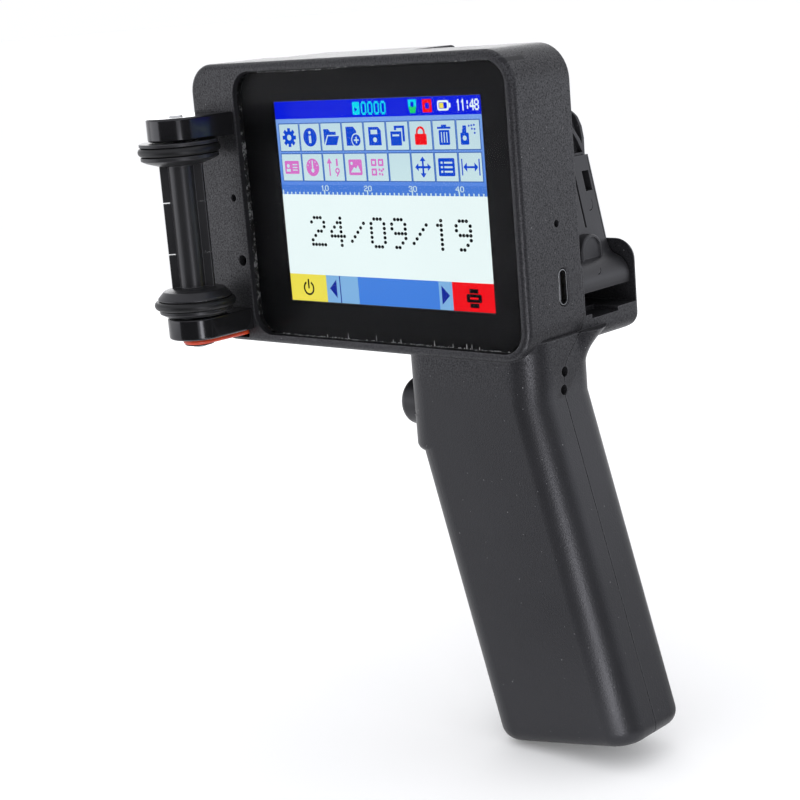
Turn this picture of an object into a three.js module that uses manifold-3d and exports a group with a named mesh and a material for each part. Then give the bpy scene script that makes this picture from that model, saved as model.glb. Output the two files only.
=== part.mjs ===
// Handheld date code inkjet printer: a gun-shaped housing with a touch screen, a guide roller on
// two arms that drives an encoder by a belt, an open cartridge bay with a hinged latch, and a
// battery grip with a push trigger.
//
// Design frame, millimetres: +X runs along the screen to the right, +Y goes away from the
// operator through the housing, +Z is up, and the middle of the picture area is the origin.
// The print face looks to -X. The finished group is shifted so that the model's own origin lies
// at the bottom centre of its bounding box.

import * as THREE from 'three';
import { mergeVertices } from 'three/addons/utils/BufferGeometryUtils.js';
import Module from 'manifold-3d';

const wasm = await Module();
wasm.setup();

// ---------------------------------------------------------------- driving dimensions

const GAP = 0.3;                 // clearance between neighbouring pieces
const WALL = 2.2;                // moulded wall thickness
const BEYOND = 200;              // reach of a cutting solid past everything

// Head: the box that carries the screen.
const HEAD = { left: -64.1, right: 47.4, bottom: -38.1, top: 37, front: -3, back: 19 };
const HEAD_R_LEFT = 7.5;         // outline corners on the roller side
const HEAD_R_RIGHT = 9;          // outline corners on the socket side
const HEAD_EDGE = 1.6;           // rounding of the front edge

// Recess for the cover glass, and the display behind it.
const RECESS = { left: -47.4, right: 45.1, bottom: -35.7, top: 34.6 };
const RECESS_R = 6.1;
const GLASS_FRONT = -1.6;
const GLASS_THICK = 1.5;
const LEDGE_FRONT = 0.2;
const LEDGE_BACK = 2.2;
const LCD = { left: -38.5, right: 38.5, bottom: -32.5, top: 29.9 };
const LCD_FRONT = 0.25;
const LCD_THICK = 3.2;

// Cartridge housing behind the head.
const BAY = { left: -64.1, right: 45.9, bottom: -37.2, top: 36.7, front: 19.3, back: 45.5 };
const BAY_STEP = { x: -9.5, top: 35.7 };   // the roof is lower to the right of this
const BAY_FULL_RIGHT = 8;        // right end of the full-height part
const CHEEK_TOP = -14.2;         // top of the two cheeks that carry the latch pin
const HOLLOW = { left: -60.8, bottom: -30.3, top: 34.6, front: 21.6, back: 43.5 };
const LID_FRONT = 17.2;

// Grip: a rounded section swept along a leaning axis.
const LEAN = THREE.MathUtils.degToRad(14.9);
const GRIP = { left: -10.6, right: 33, front: -2, back: 24.1 };   // across the leaning axis
const GRIP_R = 7.5;
const GRIP_TOP = 30;             // along the axis, from the origin
const GRIP_END = 143.5;
const GRIP_WALL = 2.3;
const BASE_SHEAR = Math.tan(THREE.MathUtils.degToRad(5.5));
const BASE_ROUND = 4;
const SEAM_Y = 10;               // parting plane of the two grip halves

// Trigger block at the top of the grip's front strap.
const STRAP_X = 3.7;
const NECK_RIGHT = 47;           // upright right side, down to where the leaning grip passes it
const STRAP_BOTTOM = -63.5;
const STRAP_HOLLOW = { bottom: -61.3, top: -40.5 };
const TRIGGER = { y: SEAM_Y, z: -53, r: 6.4, travel: 3, tip: -4.2 };

// Guide roller, its two arms and the encoder that it drives.
const ROLLER = { x: -56, y: -16 };
const ARM_HALF = 8;
const UPPER_ARM = { bottom: 18.4, top: 24.5 };
const LOWER_ARM = { bottom: -34.4, top: -28.6 };
const TYRE_R = 11;
const TYRE_SECTION = 1.2;
const TYRE_Z = [15.9, -25.1];
const SHAFT_R = 2;
const BEARING_R = 4;
const PULLEY_R = 3.75;           // belt centre line on the roller's pulley
const ENCODER = { x: -54, y: 10, r: 3 };
const BELT_Z = -35.55;
const BELT_HALF = 0.65;

// Latch pivot and sweep.
const PIVOT = { x: 40.6, z: -21.6 };
const LATCH_Y = [22, 43.1];
const PIN_R = 1.55;
const PIN_HEAD = { r: 2.4, front: 44.7, back: 45.4 };

// Side face openings.
const USB = { y: 11.6, z: -21.3, width: 8.94, height: 3.26, depth: 7.3 };
const RESET = { y: 10.2, z: -5.6 };

// ---------------------------------------------------------------- helpers

const V = (x, y, z) => new THREE.Vector3(x, y, z);

// Turns a closed three.js geometry into a solid that can be joined and cut.
function solid(geometry) {
  const bare = geometry.clone();
  bare.deleteAttribute('normal');
  bare.deleteAttribute('uv');
  const merged = mergeVertices(bare.index ? bare.toNonIndexed() : bare, 1e-4);
  return new wasm.Manifold(new wasm.Mesh({
    numProp: 3,
    vertProperties: new Float32Array(merged.attributes.position.array),
    triVerts: new Uint32Array(merged.index.array),
  }));
}

function geometryOf(body) {
  const mesh = body.getMesh();
  const geometry = new THREE.BufferGeometry();
  geometry.setAttribute('position', new THREE.BufferAttribute(new Float32Array(mesh.vertProperties), 3));
  geometry.setIndex(new THREE.BufferAttribute(new Uint32Array(mesh.triVerts), 1));
  geometry.computeVertexNormals();
  return geometry;
}

const join = (first, ...rest) => rest.reduce((sum, body) => sum.add(body), first);
const cut = (first, ...rest) => rest.reduce((left, body) => left.subtract(body), first);

// Rounded rectangle; radii may be one number or [bottom left, bottom right, top right, top left].
function roundedRect(x0, y0, x1, y1, radius) {
  const [bl, br, tr, tl] = Array.isArray(radius) ? radius : [radius, radius, radius, radius];
  const shape = new THREE.Shape();
  shape.moveTo(x0 + bl, y0);
  shape.lineTo(x1 - br, y0);
  shape.absarc(x1 - br, y0 + br, br, -Math.PI / 2, 0);
  shape.lineTo(x1, y1 - tr);
  shape.absarc(x1 - tr, y1 - tr, tr, 0, Math.PI / 2);
  shape.lineTo(x0 + tl, y1);
  shape.absarc(x0 + tl, y1 - tl, tl, Math.PI / 2, Math.PI);
  shape.lineTo(x0, y0 + bl);
  shape.absarc(x0 + bl, y0 + bl, bl, Math.PI, 1.5 * Math.PI);
  return shape;
}

function outline(points) {
  return new THREE.Shape(points.map(([x, y]) => new THREE.Vector2(x, y)));
}

function circle(x, y, r) {
  const shape = new THREE.Shape();
  shape.absarc(x, y, r, 0, 2 * Math.PI);
  return shape;
}

// Extrusion between two heights of the local z axis, with an optional rounding of both ends.
function extrude(shape, from, to, { edge = 0, edgeSteps = 2, curve = 6 } = {}) {
  const geometry = new THREE.ExtrudeGeometry(shape, {
    depth: to - from - 2 * edge,
    curveSegments: curve,
    bevelEnabled: edge > 0,
    bevelThickness: edge,
    bevelSize: edge,
    bevelOffset: -edge,
    bevelSegments: edgeSteps,
  });
  return geometry.translate(0, 0, from + edge);
}

// A shape drawn in (X, Z), extruded along Y; in (Y, Z), along X; in (X, Y), along Z.
const alongY = (shape, y0, y1, options) =>
  extrude(shape, -y1, -y0, options).rotateX(Math.PI / 2);
const alongX = (shape, x0, x1, options) =>
  extrude(shape, x0, x1, options).applyMatrix4(
    new THREE.Matrix4().makeBasis(V(0, 1, 0), V(0, 0, 1), V(1, 0, 0)));
const alongZ = (shape, z0, z1, options) => extrude(shape, z0, z1, options);

function box(x0, x1, y0, y1, z0, z1) {
  return new THREE.BoxGeometry(x1 - x0, y1 - y0, z1 - z0)
    .translate((x0 + x1) / 2, (y0 + y1) / 2, (z0 + z1) / 2);
}

// Round bar along X, Y or Z between two stations, at the other two coordinates.
function barX(y, z, r, x0, x1, sides = 24) {
  return new THREE.CylinderGeometry(r, r, x1 - x0, sides).rotateZ(-Math.PI / 2)
    .translate((x0 + x1) / 2, y, z);
}
function barY(x, z, r, y0, y1, sides = 24) {
  return new THREE.CylinderGeometry(r, r, y1 - y0, sides).translate(x, (y0 + y1) / 2, z);
}
function barZ(x, y, r, z0, z1, sides = 24) {
  return new THREE.CylinderGeometry(r, r, z1 - z0, sides).rotateX(Math.PI / 2)
    .translate(x, y, (z0 + z1) / 2);
}

// Turned piece about the local Z axis from [radius, height] pairs that start and end on the axis.
function turned(profile, sides = 32) {
  const points = profile.map(([r, z]) => new THREE.Vector2(r, z));
  return new THREE.LatheGeometry(points, sides).rotateX(Math.PI / 2);
}

// ---------------------------------------------------------------- materials

const finish = (color, roughness, metalness = 0) =>
  new THREE.MeshStandardMaterial({ color, roughness, metalness });

const texturedBlack = finish(0x1d1e21, 0.62);
const satinBlack = finish(0x17181a, 0.42);
const glossBlack = finish(0x0b0b0c, 0.15);
const coverGlass = finish(0x050608, 0.05);
const display = finish(0x2a4ea8, 0.35);
const blackRubber = finish(0x0e0e0e, 0.75);
const redRubber = finish(0xc4361d, 0.5);
const steel = finish(0xb4b7ba, 0.3, 1);
const darkSteel = finish(0x4a4c4f, 0.4, 1);
const circuitGreen = finish(0x14532d, 0.5);
const cellWrap = finish(0x2456a5, 0.4);
const clearDisc = finish(0x9aa0a6, 0.2);

const printer = new THREE.Group();

function piece(name, shape, material) {
  const geometry = shape.getMesh ? geometryOf(shape) : geometryOf(solid(shape));
  const mesh = new THREE.Mesh(geometry, material.clone());
  mesh.name = name;
  printer.add(mesh);
  return mesh;
}

// ---------------------------------------------------------------- housing solids

// A rounded section swept down the grip. Each station's grow widens the section there, and its
// backFlare widens only the side that looks to +Y. The base shears by the given slope.
function gripSweep(inset, end, stations, { left, right, lean, shear }) {
  const shape = roundedRect(left + inset, GRIP.front + inset,
    right - inset, GRIP.back - inset, GRIP_R - inset);
  const geometry = new THREE.ExtrudeGeometry(shape,
    { depth: stations.length - 1, steps: stations.length - 1, curveSegments: 7, bevelEnabled: false });
  const core = {
    left: left + GRIP_R, right: right - GRIP_R,
    front: GRIP.front + GRIP_R, back: GRIP.back - GRIP_R,
  };
  const middle = (left + right) / 2;
  const at = geometry.attributes.position;
  for (let i = 0; i < at.count; i += 1) {
    const [w, y] = [at.getX(i), at.getY(i)];
    const station = stations[Math.round(at.getZ(i))];
    const out = new THREE.Vector2(
      w - THREE.MathUtils.clamp(w, core.left, core.right),
      y - THREE.MathUtils.clamp(y, core.front, core.back)).normalize();
    const grow = station.grow + station.backFlare * Math.max(0, out.y);
    const [wNew, yNew] = [w + out.x * grow, y + out.y * grow];
    const share = THREE.MathUtils.clamp((station.along - GRIP_TOP) / (end - GRIP_TOP), 0, 1);
    const along = station.along + share * shear * (wNew - middle);
    at.setXYZ(i, wNew, yNew, -along);
  }
  // The sweep runs downwards, so its triangles are turned inside out and flipped back here.
  const flipped = geometry.index ? geometry.toNonIndexed() : geometry;
  const position = flipped.attributes.position;
  for (let i = 0; i < position.count; i += 3) {
    const [x, y, z] = [position.getX(i), position.getY(i), position.getZ(i)];
    position.setXYZ(i, position.getX(i + 1), position.getY(i + 1), position.getZ(i + 1));
    position.setXYZ(i + 1, x, y, z);
  }
  return solid(flipped.rotateY(-lean));
}

function gripStations(end, baseRound, flare) {
  const stations = [{ along: GRIP_TOP, grow: 0, backFlare: flare }];
  const flareFrom = 33.5;
  const flareSteps = 5;
  for (let i = 0; flare > 0 && i <= flareSteps; i += 1) {
    const angle = (i / flareSteps) * Math.PI / 2;
    const [down, left] = [Math.sin(angle), 1 - Math.sin(angle)];
    stations.push({ along: flareFrom + flare * down, grow: 0, backFlare: flare * left ** 1.5 });
  }
  for (let i = 0; i <= 4; i += 1) {
    const angle = (i / 4) * Math.PI / 2;
    stations.push({
      along: end - baseRound + baseRound * Math.sin(angle),
      grow: -baseRound * (1 - Math.cos(angle)), backFlare: 0,
    });
  }
  return stations;
}

const headRadii = [HEAD_R_LEFT, HEAD_R_RIGHT, HEAD_R_RIGHT, HEAD_R_LEFT];
const headOuter = cut(
  solid(alongY(roundedRect(HEAD.left, HEAD.bottom, HEAD.right, HEAD.top, headRadii),
    HEAD.front, HEAD.back + 2 * HEAD_EDGE, { edge: HEAD_EDGE, edgeSteps: 3, curve: 8 })),
  solid(box(-BEYOND, BEYOND, HEAD.back, BEYOND, -BEYOND, BEYOND)));

const leaning = { left: GRIP.left, right: GRIP.right, lean: LEAN, shear: BASE_SHEAR };
const upright = { left: STRAP_X, right: NECK_RIGHT, lean: 0, shear: 0 };

// The leaning grip starts under an upright neck, which flares back under the cartridge housing.
const strapOuter = gripSweep(0, -STRAP_BOTTOM, gripStations(-STRAP_BOTTOM, 2, 8), upright);
const aboveStrap = solid(box(-BEYOND, STRAP_X + GRIP_R + 2, -BEYOND, BEYOND, -54, BEYOND));
const aboveHead = solid(box(-BEYOND, BEYOND, -BEYOND, BEYOND, -33.5, BEYOND));
const gripOuter = cut(
  join(cut(gripSweep(0, GRIP_END, gripStations(GRIP_END, BASE_ROUND, 0), leaning), aboveStrap), strapOuter),
  aboveHead);

const gripHollowEnd = GRIP_END - 3;
const gripHollow = join(
  cut(gripSweep(GRIP_WALL, gripHollowEnd, gripStations(gripHollowEnd, 1.5, 0), leaning),
    solid(box(-BEYOND, STRAP_X + GRIP_R + 2, -BEYOND, BEYOND, -56, BEYOND)),
    solid(box(-BEYOND, BEYOND, -BEYOND, BEYOND, STRAP_HOLLOW.top, BEYOND))),
  solid(alongZ(roundedRect(STRAP_X + GRIP_WALL, GRIP.front + GRIP_WALL, 40, GRIP.back - GRIP_WALL,
    GRIP_R - GRIP_WALL), STRAP_HOLLOW.bottom, STRAP_HOLLOW.top)),
  solid(alongZ(roundedRect(10, 1.5, 40, 16, 3), STRAP_HOLLOW.top - 1, -30)));

// Everything behind the parting surface belongs to the rear shell: a plane down the grip that
// curls back to the rear edge of the head above it.
function behindSeam(shift) {
  const shape = new THREE.Shape();
  shape.moveTo(SEAM_Y + shift, -BEYOND);
  shape.lineTo(BEYOND, -BEYOND);
  shape.lineTo(BEYOND, BEYOND);
  shape.lineTo(HEAD.back + shift, BEYOND);
  shape.lineTo(HEAD.back + shift, -27);
  shape.bezierCurveTo(HEAD.back + shift, -37, SEAM_Y + shift, -36, SEAM_Y + shift, -44);
  return solid(alongX(shape, -BEYOND, BEYOND, { curve: 10 }));
}

const headHollowShape = (inset, y0, y1) => solid(alongY(
  roundedRect(HEAD.left + inset, HEAD.bottom + inset, HEAD.right - inset, HEAD.top - inset,
    headRadii.map((r) => r - inset)), y0, y1, { curve: 5 }));

const triggerBore = solid(barX(TRIGGER.y, TRIGGER.z, TRIGGER.r + GAP, -20, 10, 32));
const lanyardHoles = [[10.3, -42], [9.6, -46.4]].map(([y, z]) => solid(barX(y, z, 1.3, 38, 60, 16)));

// ---------------------------------------------------------------- front shell

const HEAD_SCREWS = [[-55, 28], [-55, -18], [42.3, 30.4], [42.3, 3.5]];
const HEAD_BOSS_R = 2.7;
const ARM_SCREW_X = [-58, -52.5];
const armMiddle = (arm) => (arm.bottom + arm.top) / 2;

function frontShell() {
  const bosses = HEAD_SCREWS.map(([x, z]) => solid(barY(x, z, HEAD_BOSS_R, -1.5, LID_FRONT - GAP, 16)));
  const leftStrip = solid(alongY(
    roundedRect(HEAD.left + WALL, HEAD.bottom + WALL, -49.6, HEAD.top - WALL,
      [HEAD_R_LEFT - WALL, 0.5, 0.5, HEAD_R_LEFT - WALL]), HEAD.front + WALL, 5, { curve: 5 }));
  const beltSlot = solid(alongY(roundedRect(-59.6, -37, -50.1, -34, 0.8), -10, 15, { curve: 3 }));
  const shell = cut(
    join(headOuter, gripOuter),
    behindSeam(-GAP / 2),
    headHollowShape(WALL, LEDGE_BACK, BEYOND),
    leftStrip, gripHollow);
  return cut(
    join(shell, ...bosses.map((boss) => cut(boss, beltSlot))),
    solid(alongY(roundedRect(RECESS.left, RECESS.bottom, RECESS.right, RECESS.top, RECESS_R),
      -10, LEDGE_FRONT, { curve: 8 })),
    solid(alongY(roundedRect(-41, -33, 41, 31, 2), -1, 3)),
    solid(barY(-51, 1.3, 1, -10, 5, 16)),
    solid(barY(-49.9, -15.7, 1.5, -10, 5, 16)),
    solid(barX(RESET.y, RESET.z, 0.65, 40, 60, 12)),
    solid(alongX(roundedRect(USB.y - 2, USB.z - 4.65, USB.y + 2, USB.z + 4.65, 1.9), 40, 60)),
    beltSlot, triggerBore, ...lanyardHoles,
    ...HEAD_SCREWS.map(([x, z]) => solid(barY(x, z, 1.35, 6, 30, 12))),
    ...[UPPER_ARM, LOWER_ARM].flatMap((arm) =>
      ARM_SCREW_X.map((x) => solid(barY(x, armMiddle(arm), 1.5, -10, 5, 12)))));
}
piece('front_shell', frontShell(), texturedBlack);

// ---------------------------------------------------------------- rear shell

function bayOutline() {
  const shape = new THREE.Shape();
  const r = HEAD_R_LEFT;
  shape.moveTo(BAY.left + r, BAY.bottom);
  shape.lineTo(BAY.right - 4, BAY.bottom);
  shape.absarc(BAY.right - 4, BAY.bottom + 4, 4, -Math.PI / 2, 0);
  shape.lineTo(BAY.right, CHEEK_TOP - 5.5);
  shape.absarc(BAY.right - 5.5, CHEEK_TOP - 5.5, 5.5, 0, Math.PI / 2);
  shape.lineTo(35, CHEEK_TOP);
  shape.bezierCurveTo(26, CHEEK_TOP, 26, 12, BAY_FULL_RIGHT + 10, 24);
  shape.bezierCurveTo(BAY_FULL_RIGHT + 5, 31, BAY_FULL_RIGHT + 5, BAY.top, BAY_FULL_RIGHT - 3, BAY.top);
  shape.lineTo(BAY.left + r, BAY.top);
  shape.absarc(BAY.left + r, BAY.top - r, r, Math.PI / 2, Math.PI);
  shape.lineTo(BAY.left, BAY.bottom + r);
  shape.absarc(BAY.left + r, BAY.bottom + r, r, Math.PI, 1.5 * Math.PI);
  return shape;
}

const NOZZLE = { y0: 26, y1: 39, z0: -18, z1: 4 };
const GRIP_SCREWS = [[33, -48], [37, -60]];

function rearShell() {
  const roundedBase = solid(alongX(
    roundedRect(-BEYOND, BAY.bottom, BAY.back, BEYOND, [0.1, 5.5, 0.1, 0.1]),
    -BEYOND, BEYOND, { curve: 6 }));
  const housing = cut(
    solid(alongY(bayOutline(), BAY.front - 2.5, BAY.back, { edge: 2.5, edgeSteps: 3, curve: 8 }))
      .intersect(roundedBase),
    solid(box(BAY_STEP.x, BEYOND, -BEYOND, BEYOND, BAY_STEP.top, BEYOND)),
    solid(box(-BEYOND, BEYOND, -BEYOND, BAY.front, -BEYOND, BEYOND)));
  const hollow = solid(alongY(
    roundedRect(HOLLOW.left, HOLLOW.bottom, 120, HOLLOW.top, [4.5, 0.5, 0.5, 4.5]),
    HOLLOW.front, HOLLOW.back));
  const lid = solid(alongY(
    roundedRect(HEAD.left + WALL + GAP, HEAD.bottom + WALL + GAP, HEAD.right - WALL - GAP,
      HEAD.top - WALL - GAP, headRadii.map((r) => r - WALL - GAP)),
    LID_FRONT, BAY.front + 0.05, { curve: 5 }));
  const lower = cut(
    join(headOuter, gripOuter).intersect(behindSeam(GAP / 2)),
    gripHollow,
    headHollowShape(WALL, LEDGE_BACK, LID_FRONT));
  const gripBosses = GRIP_SCREWS.map(([x, z]) => solid(barY(x, z, 3, SEAM_Y + 0.5, GRIP.back - 1, 16)));
  const screwBores = HEAD_SCREWS.map(([x, z]) => solid(barY(x, z, 1.35, 10, 22, 12)));
  const gripBores = GRIP_SCREWS.flatMap(([x, z]) => [
    solid(barY(x, z, 1.5, 0, 40, 12)),
    solid(barY(x, z, 2.9, GRIP.back - 3.2, 60, 16)),
  ]);
  return cut(
    join(lower, lid, housing, ...gripBosses),
    hollow, triggerBore, ...lanyardHoles, ...screwBores, ...gripBores,
    solid(box(-80, -55, NOZZLE.y0, NOZZLE.y1, NOZZLE.z0, NOZZLE.z1)),
    solid(barY(PIVOT.x, PIVOT.z, PIN_R + GAP, 20.2, 60, 16)),
    solid(barY(PIVOT.x, PIVOT.z, PIN_HEAD.r + GAP, PIN_HEAD.front - GAP, 60, 20)),
    solid(box(38, 60, 24.3, 35.5, -31.4, -28)),
    ...[8, -22].map((z) => solid(barX(24.2, z, 1.1, -80, -58, 12))));
}
piece('rear_shell', rearShell(), texturedBlack);

// ---------------------------------------------------------------- display and electronics

piece('touch_glass', alongY(
  roundedRect(RECESS.left + GAP, RECESS.bottom + GAP, RECESS.right - GAP, RECESS.top - GAP, RECESS_R - GAP),
  GLASS_FRONT, GLASS_FRONT + GLASS_THICK, { edge: 0.25, edgeSteps: 1, curve: 8 }), coverGlass);
piece('lcd_module', alongY(roundedRect(LCD.left, LCD.bottom, LCD.right, LCD.top, 0.8),
  LCD_FRONT, LCD_FRONT + LCD_THICK, { curve: 2 }), display);

const BOARD = { front: 13.5, back: 15.1 };
function mainBoard() {
  const board = solid(alongY(outline([
    [-44, -28], [44.6, -28], [44.6, -1], [38.5, -1], [38.5, 28], [-44, 28]]), BOARD.front, BOARD.back));
  const chips = [[-30, 8, 12, 12], [-4, 6, 16, 16], [22, 10, 8, 12], [-22, -16, 18, 6], [14, -16, 10, 8]];
  return join(board, ...chips.map(([x, z, w, h]) =>
    solid(box(x - w / 2, x + w / 2, BOARD.back - 0.2, BOARD.back + 1.1, z - h / 2, z + h / 2))));
}
piece('main_board', mainBoard(), circuitGreen);

function usbPort() {
  const shellShape = (inset) => roundedRect(USB.y - USB.height / 2 + inset, USB.z - USB.width / 2 + inset,
    USB.y + USB.height / 2 - inset, USB.z + USB.width / 2 - inset, USB.height / 2 - inset - 0.02);
  const mouth = HEAD.right - 0.5;
  return join(
    cut(solid(alongX(shellShape(0), mouth - USB.depth, mouth)),
      solid(alongX(shellShape(0.3), mouth - USB.depth + 1, mouth + 5))),
    solid(box(mouth - USB.depth + 0.5, mouth - 0.9, USB.y - 0.35, USB.y + 0.35, USB.z - 3.3, USB.z + 3.3)));
}
piece('usb_port', usbPort(), steel);

// Side-push switch behind the pinhole, with its own small plunger.
piece('reset_switch', cut(
  solid(box(38.8, 43.6, RESET.y - 1.9, BOARD.front - GAP, RESET.z - 3, RESET.z + 3)),
  solid(barX(RESET.y, RESET.z, 1.2, 42, 50, 16))), darkSteel);
piece('reset_button', barX(RESET.y, RESET.z, 0.85, 42.6, 44.7, 16), glossBlack);

piece('buzzer', cut(
  solid(barY(-55, 1.3, 4.5, 0.2, 4.2, 28)),
  solid(barY(-55, 1.3, 0.9, -1, 2, 12))), glossBlack);

// ---------------------------------------------------------------- grip contents

// Places a piece made along the leaning grip axis: w across, along down the grip.
const grip = new THREE.Group();
grip.rotation.y = -LEAN;
printer.add(grip);

const CELL = { r: 9.2, length: 64, top: 74.5, y: 11 };
[-7.1 + CELL.r, -7.1 + 3 * CELL.r + 0.4].forEach((w, index) => {
  const cell = piece(`battery_cell_${index + 1}`, turned([
    [0, 0], [CELL.r - 0.5, 0], [CELL.r, 0.5], [CELL.r, CELL.length - 0.5], [CELL.r - 0.7, CELL.length],
    [3, CELL.length], [3, CELL.length + 1.2], [0, CELL.length + 1.2]], 28), cellWrap);
  cell.position.set(w, CELL.y, -CELL.top - CELL.length);
  grip.add(cell);
});

// Push trigger: domed plunger with a flat-sided collar that is caught behind the strap wall.
const collarFront = STRAP_X + GRIP_WALL + GAP;
const COLLAR = { r: TRIGGER.r + 1, half: 5.8, thick: 1.6 };
function triggerButton() {
  const dome = 3.2;
  const height = COLLAR.thick + collarFront - TRIGGER.tip;
  const profile = [[0, 0], [TRIGGER.r, 0], [TRIGGER.r, height - dome]];
  for (let i = 1; i < 6; i += 1) {
    const angle = (i / 6) * Math.PI / 2;
    profile.push([TRIGGER.r * Math.cos(angle), height - dome + dome * Math.sin(angle)]);
  }
  profile.push([0, height]);
  const flatSided = box(-20, 20, -COLLAR.half, COLLAR.half, -1, COLLAR.thick);
  const plunger = solid(turned(profile, 36));
  return cut(
    join(
      solid(barZ(0, 0, COLLAR.r, 0, COLLAR.thick, 36)).intersect(solid(flatSided)),
      cut(plunger, solid(box(-20, 20, -20, 20, -1, COLLAR.thick)))),
    solid(barZ(0, 0, 3.2, -1, 4, 20)));
}
const trigger = piece('trigger_button', triggerButton(), satinBlack);
trigger.rotation.y = -Math.PI / 2;
trigger.position.set(collarFront + COLLAR.thick, TRIGGER.y, TRIGGER.z);

function coil(radius, wire, turns, length, stepsPerTurn = 12) {
  const points = [];
  for (let i = 0; i <= turns * stepsPerTurn; i += 1) {
    const angle = (i / stepsPerTurn) * 2 * Math.PI;
    const share = i / (turns * stepsPerTurn);
    points.push(V(radius * Math.cos(angle), radius * Math.sin(angle), share * length));
  }
  return new THREE.ExtrudeGeometry(circle(0, 0, wire / 2), {
    steps: turns * stepsPerTurn, curveSegments: 3, bevelEnabled: false,
    extrudePath: new THREE.CatmullRomCurve3(points),
  });
}
const SPRING = { front: 4.6, back: 18.3, r: 2.4, wire: 0.7 };
const triggerSpring = piece('trigger_spring',
  coil(SPRING.r, SPRING.wire, 5, SPRING.back - SPRING.front, 10), steel);
triggerSpring.rotation.y = Math.PI / 2;
triggerSpring.position.set(SPRING.front, TRIGGER.y, TRIGGER.z);

piece('trigger_switch', cut(
  solid(box(15.8, 24, 4, 16, TRIGGER.z - 6, TRIGGER.z + 6)),
  solid(barX(TRIGGER.y, TRIGGER.z, 3.4, 10, SPRING.back + 0.7, 20))), glossBlack);

// ---------------------------------------------------------------- cartridge latch

// Face of the latch in (X, Z), from the foot up the outside to the hook and down the inside.
function latchOutline(inner) {
  const shape = new THREE.Shape();
  shape.moveTo(36.4, -25.2);
  shape.lineTo(44.4, -25.2);
  shape.bezierCurveTo(45.4, -22, 43.6, -19, 40.6, -18.2);
  shape.bezierCurveTo(39, -17.7, 38.4, -15.9, 38, -13.9);
  shape.lineTo(33.8, 6.9);
  shape.bezierCurveTo(33.7, 13.5, 32.6, 17.4, 27.5, 19.4);
  shape.lineTo(26.4 - inner, 17.2);
  shape.bezierCurveTo(30.4 - inner, 15.6, 31.2 - inner, 11, 31.3 - inner, 6.4);
  shape.lineTo(35.4 - inner, -14.4);
  return shape;
}

// The hook's outer face is relieved above this line, apart from a rim along its far side.
const HOOK_RELIEF = [[40, 7.3], [32.6, 7.3], [32.4, 12.5], [30.9, 16.4], [26.8, 18.4], [28.4, 24], [40, 24]];

function cartridgeLatch() {
  const [y0, y1] = LATCH_Y;
  const flange = 1.8;
  const pad = new THREE.Shape();
  pad.moveTo(28.6, -23.6);
  pad.lineTo(37.4, -23.6);
  pad.lineTo(37.4, -15.6);
  pad.absarc(33, -15.6, 4.4, 0, Math.PI);
  return cut(
    join(
      solid(alongY(latchOutline(0), y0, y1, { curve: 6 })),
      solid(alongY(latchOutline(3.4), y0, y0 + flange, { curve: 6 })),
      solid(alongY(latchOutline(3.4), y1 - flange, y1, { curve: 6 })),
      cut(solid(alongX(pad, 37, 40.4, { curve: 8 })), solid(barY(PIVOT.x, PIVOT.z, 2.5, 0, 60, 8)))),
    solid(barY(PIVOT.x, PIVOT.z, PIN_R + GAP, 0, 60, 16)),
    solid(barY(PIVOT.x, PIVOT.z, 2.8, 26.5, 38.5, 16)),
    solid(box(37.8, 40, 26.5, 38.5, -26, -21.5)),
    solid(box(28, 40, 38.8, 41.6, -1.7, 3.4)),
    solid(alongY(outline(HOOK_RELIEF), y0 - 1, 41.2)),
    solid(box(33.2, 45.2, 35.2, 35.9, -10.5, 4.2)));
}
piece('cartridge_latch', cartridgeLatch(), texturedBlack);

piece('latch_pin', join(
  solid(barY(PIVOT.x, PIVOT.z, PIN_R, 20.5, PIN_HEAD.front + 0.1, 20)),
  solid(barY(PIVOT.x, PIVOT.z, PIN_HEAD.r, PIN_HEAD.front, PIN_HEAD.back, 20))), steel);

const latchSpring = piece('latch_spring', coil(2.15, 0.6, 6, 9, 10), steel);
latchSpring.rotation.x = -Math.PI / 2;
latchSpring.position.set(PIVOT.x, 28, PIVOT.z);

// ---------------------------------------------------------------- print head end

piece('nozzle_plate', cut(
  solid(alongX(roundedRect(22, -26, 43, 12, 3), BAY.left - GAP - 1.4, BAY.left - GAP, { curve: 4 })),
  solid(box(-80, -55, NOZZLE.y0, NOZZLE.y1, NOZZLE.z0, NOZZLE.z1)),
  ...[8, -22].map((z) => solid(barX(24.2, z, 1.1, -80, -58, 12)))), darkSteel);

// Screw along +Y or +X with its head's seat at the origin of the local axis.
function screw(shank, length, head, headHeight) {
  return turned([[0, -length], [shank, -length], [shank, 0], [head, 0],
    [head, headHeight * 0.6], [head * 0.7, headHeight], [0, headHeight]], 16);
}
[8, -22].forEach((z, index) => {
  const fastener = piece(`nozzle_screw_${index + 1}`, screw(0.8, 4, 1.8, 0.9), steel);
  fastener.rotation.y = -Math.PI / 2;
  fastener.position.set(BAY.left - GAP - 1.4 - GAP, 24.2, z);
});

piece('contact_board', box(-52, -28, HOLLOW.front + GAP, HOLLOW.front + GAP + 1.2, -12, 16), circuitGreen);
function contactPad() {
  const pins = [];
  for (let row = 0; row < 4; row += 1) {
    for (let column = 0; column < 5; column += 1) {
      pins.push(solid(barY(-46 + column * 3, -6 + row * 5, 0.5, 24, 25.4, 8)));
    }
  }
  const carrier = solid(box(-49, -31, HOLLOW.front + 1.8, HOLLOW.front + 2.8, -10, 14));
  return join(carrier, ...pins);
}
piece('contact_pad', contactPad(), glossBlack);
piece('guide_rail_top', box(-55, 4, 25, 40, 31.6, HOLLOW.top - GAP), satinBlack);
piece('guide_rail_bottom', box(-55, 24, 25, 40, HOLLOW.bottom + GAP, -27.2), satinBlack);

// ---------------------------------------------------------------- roller arms

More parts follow.
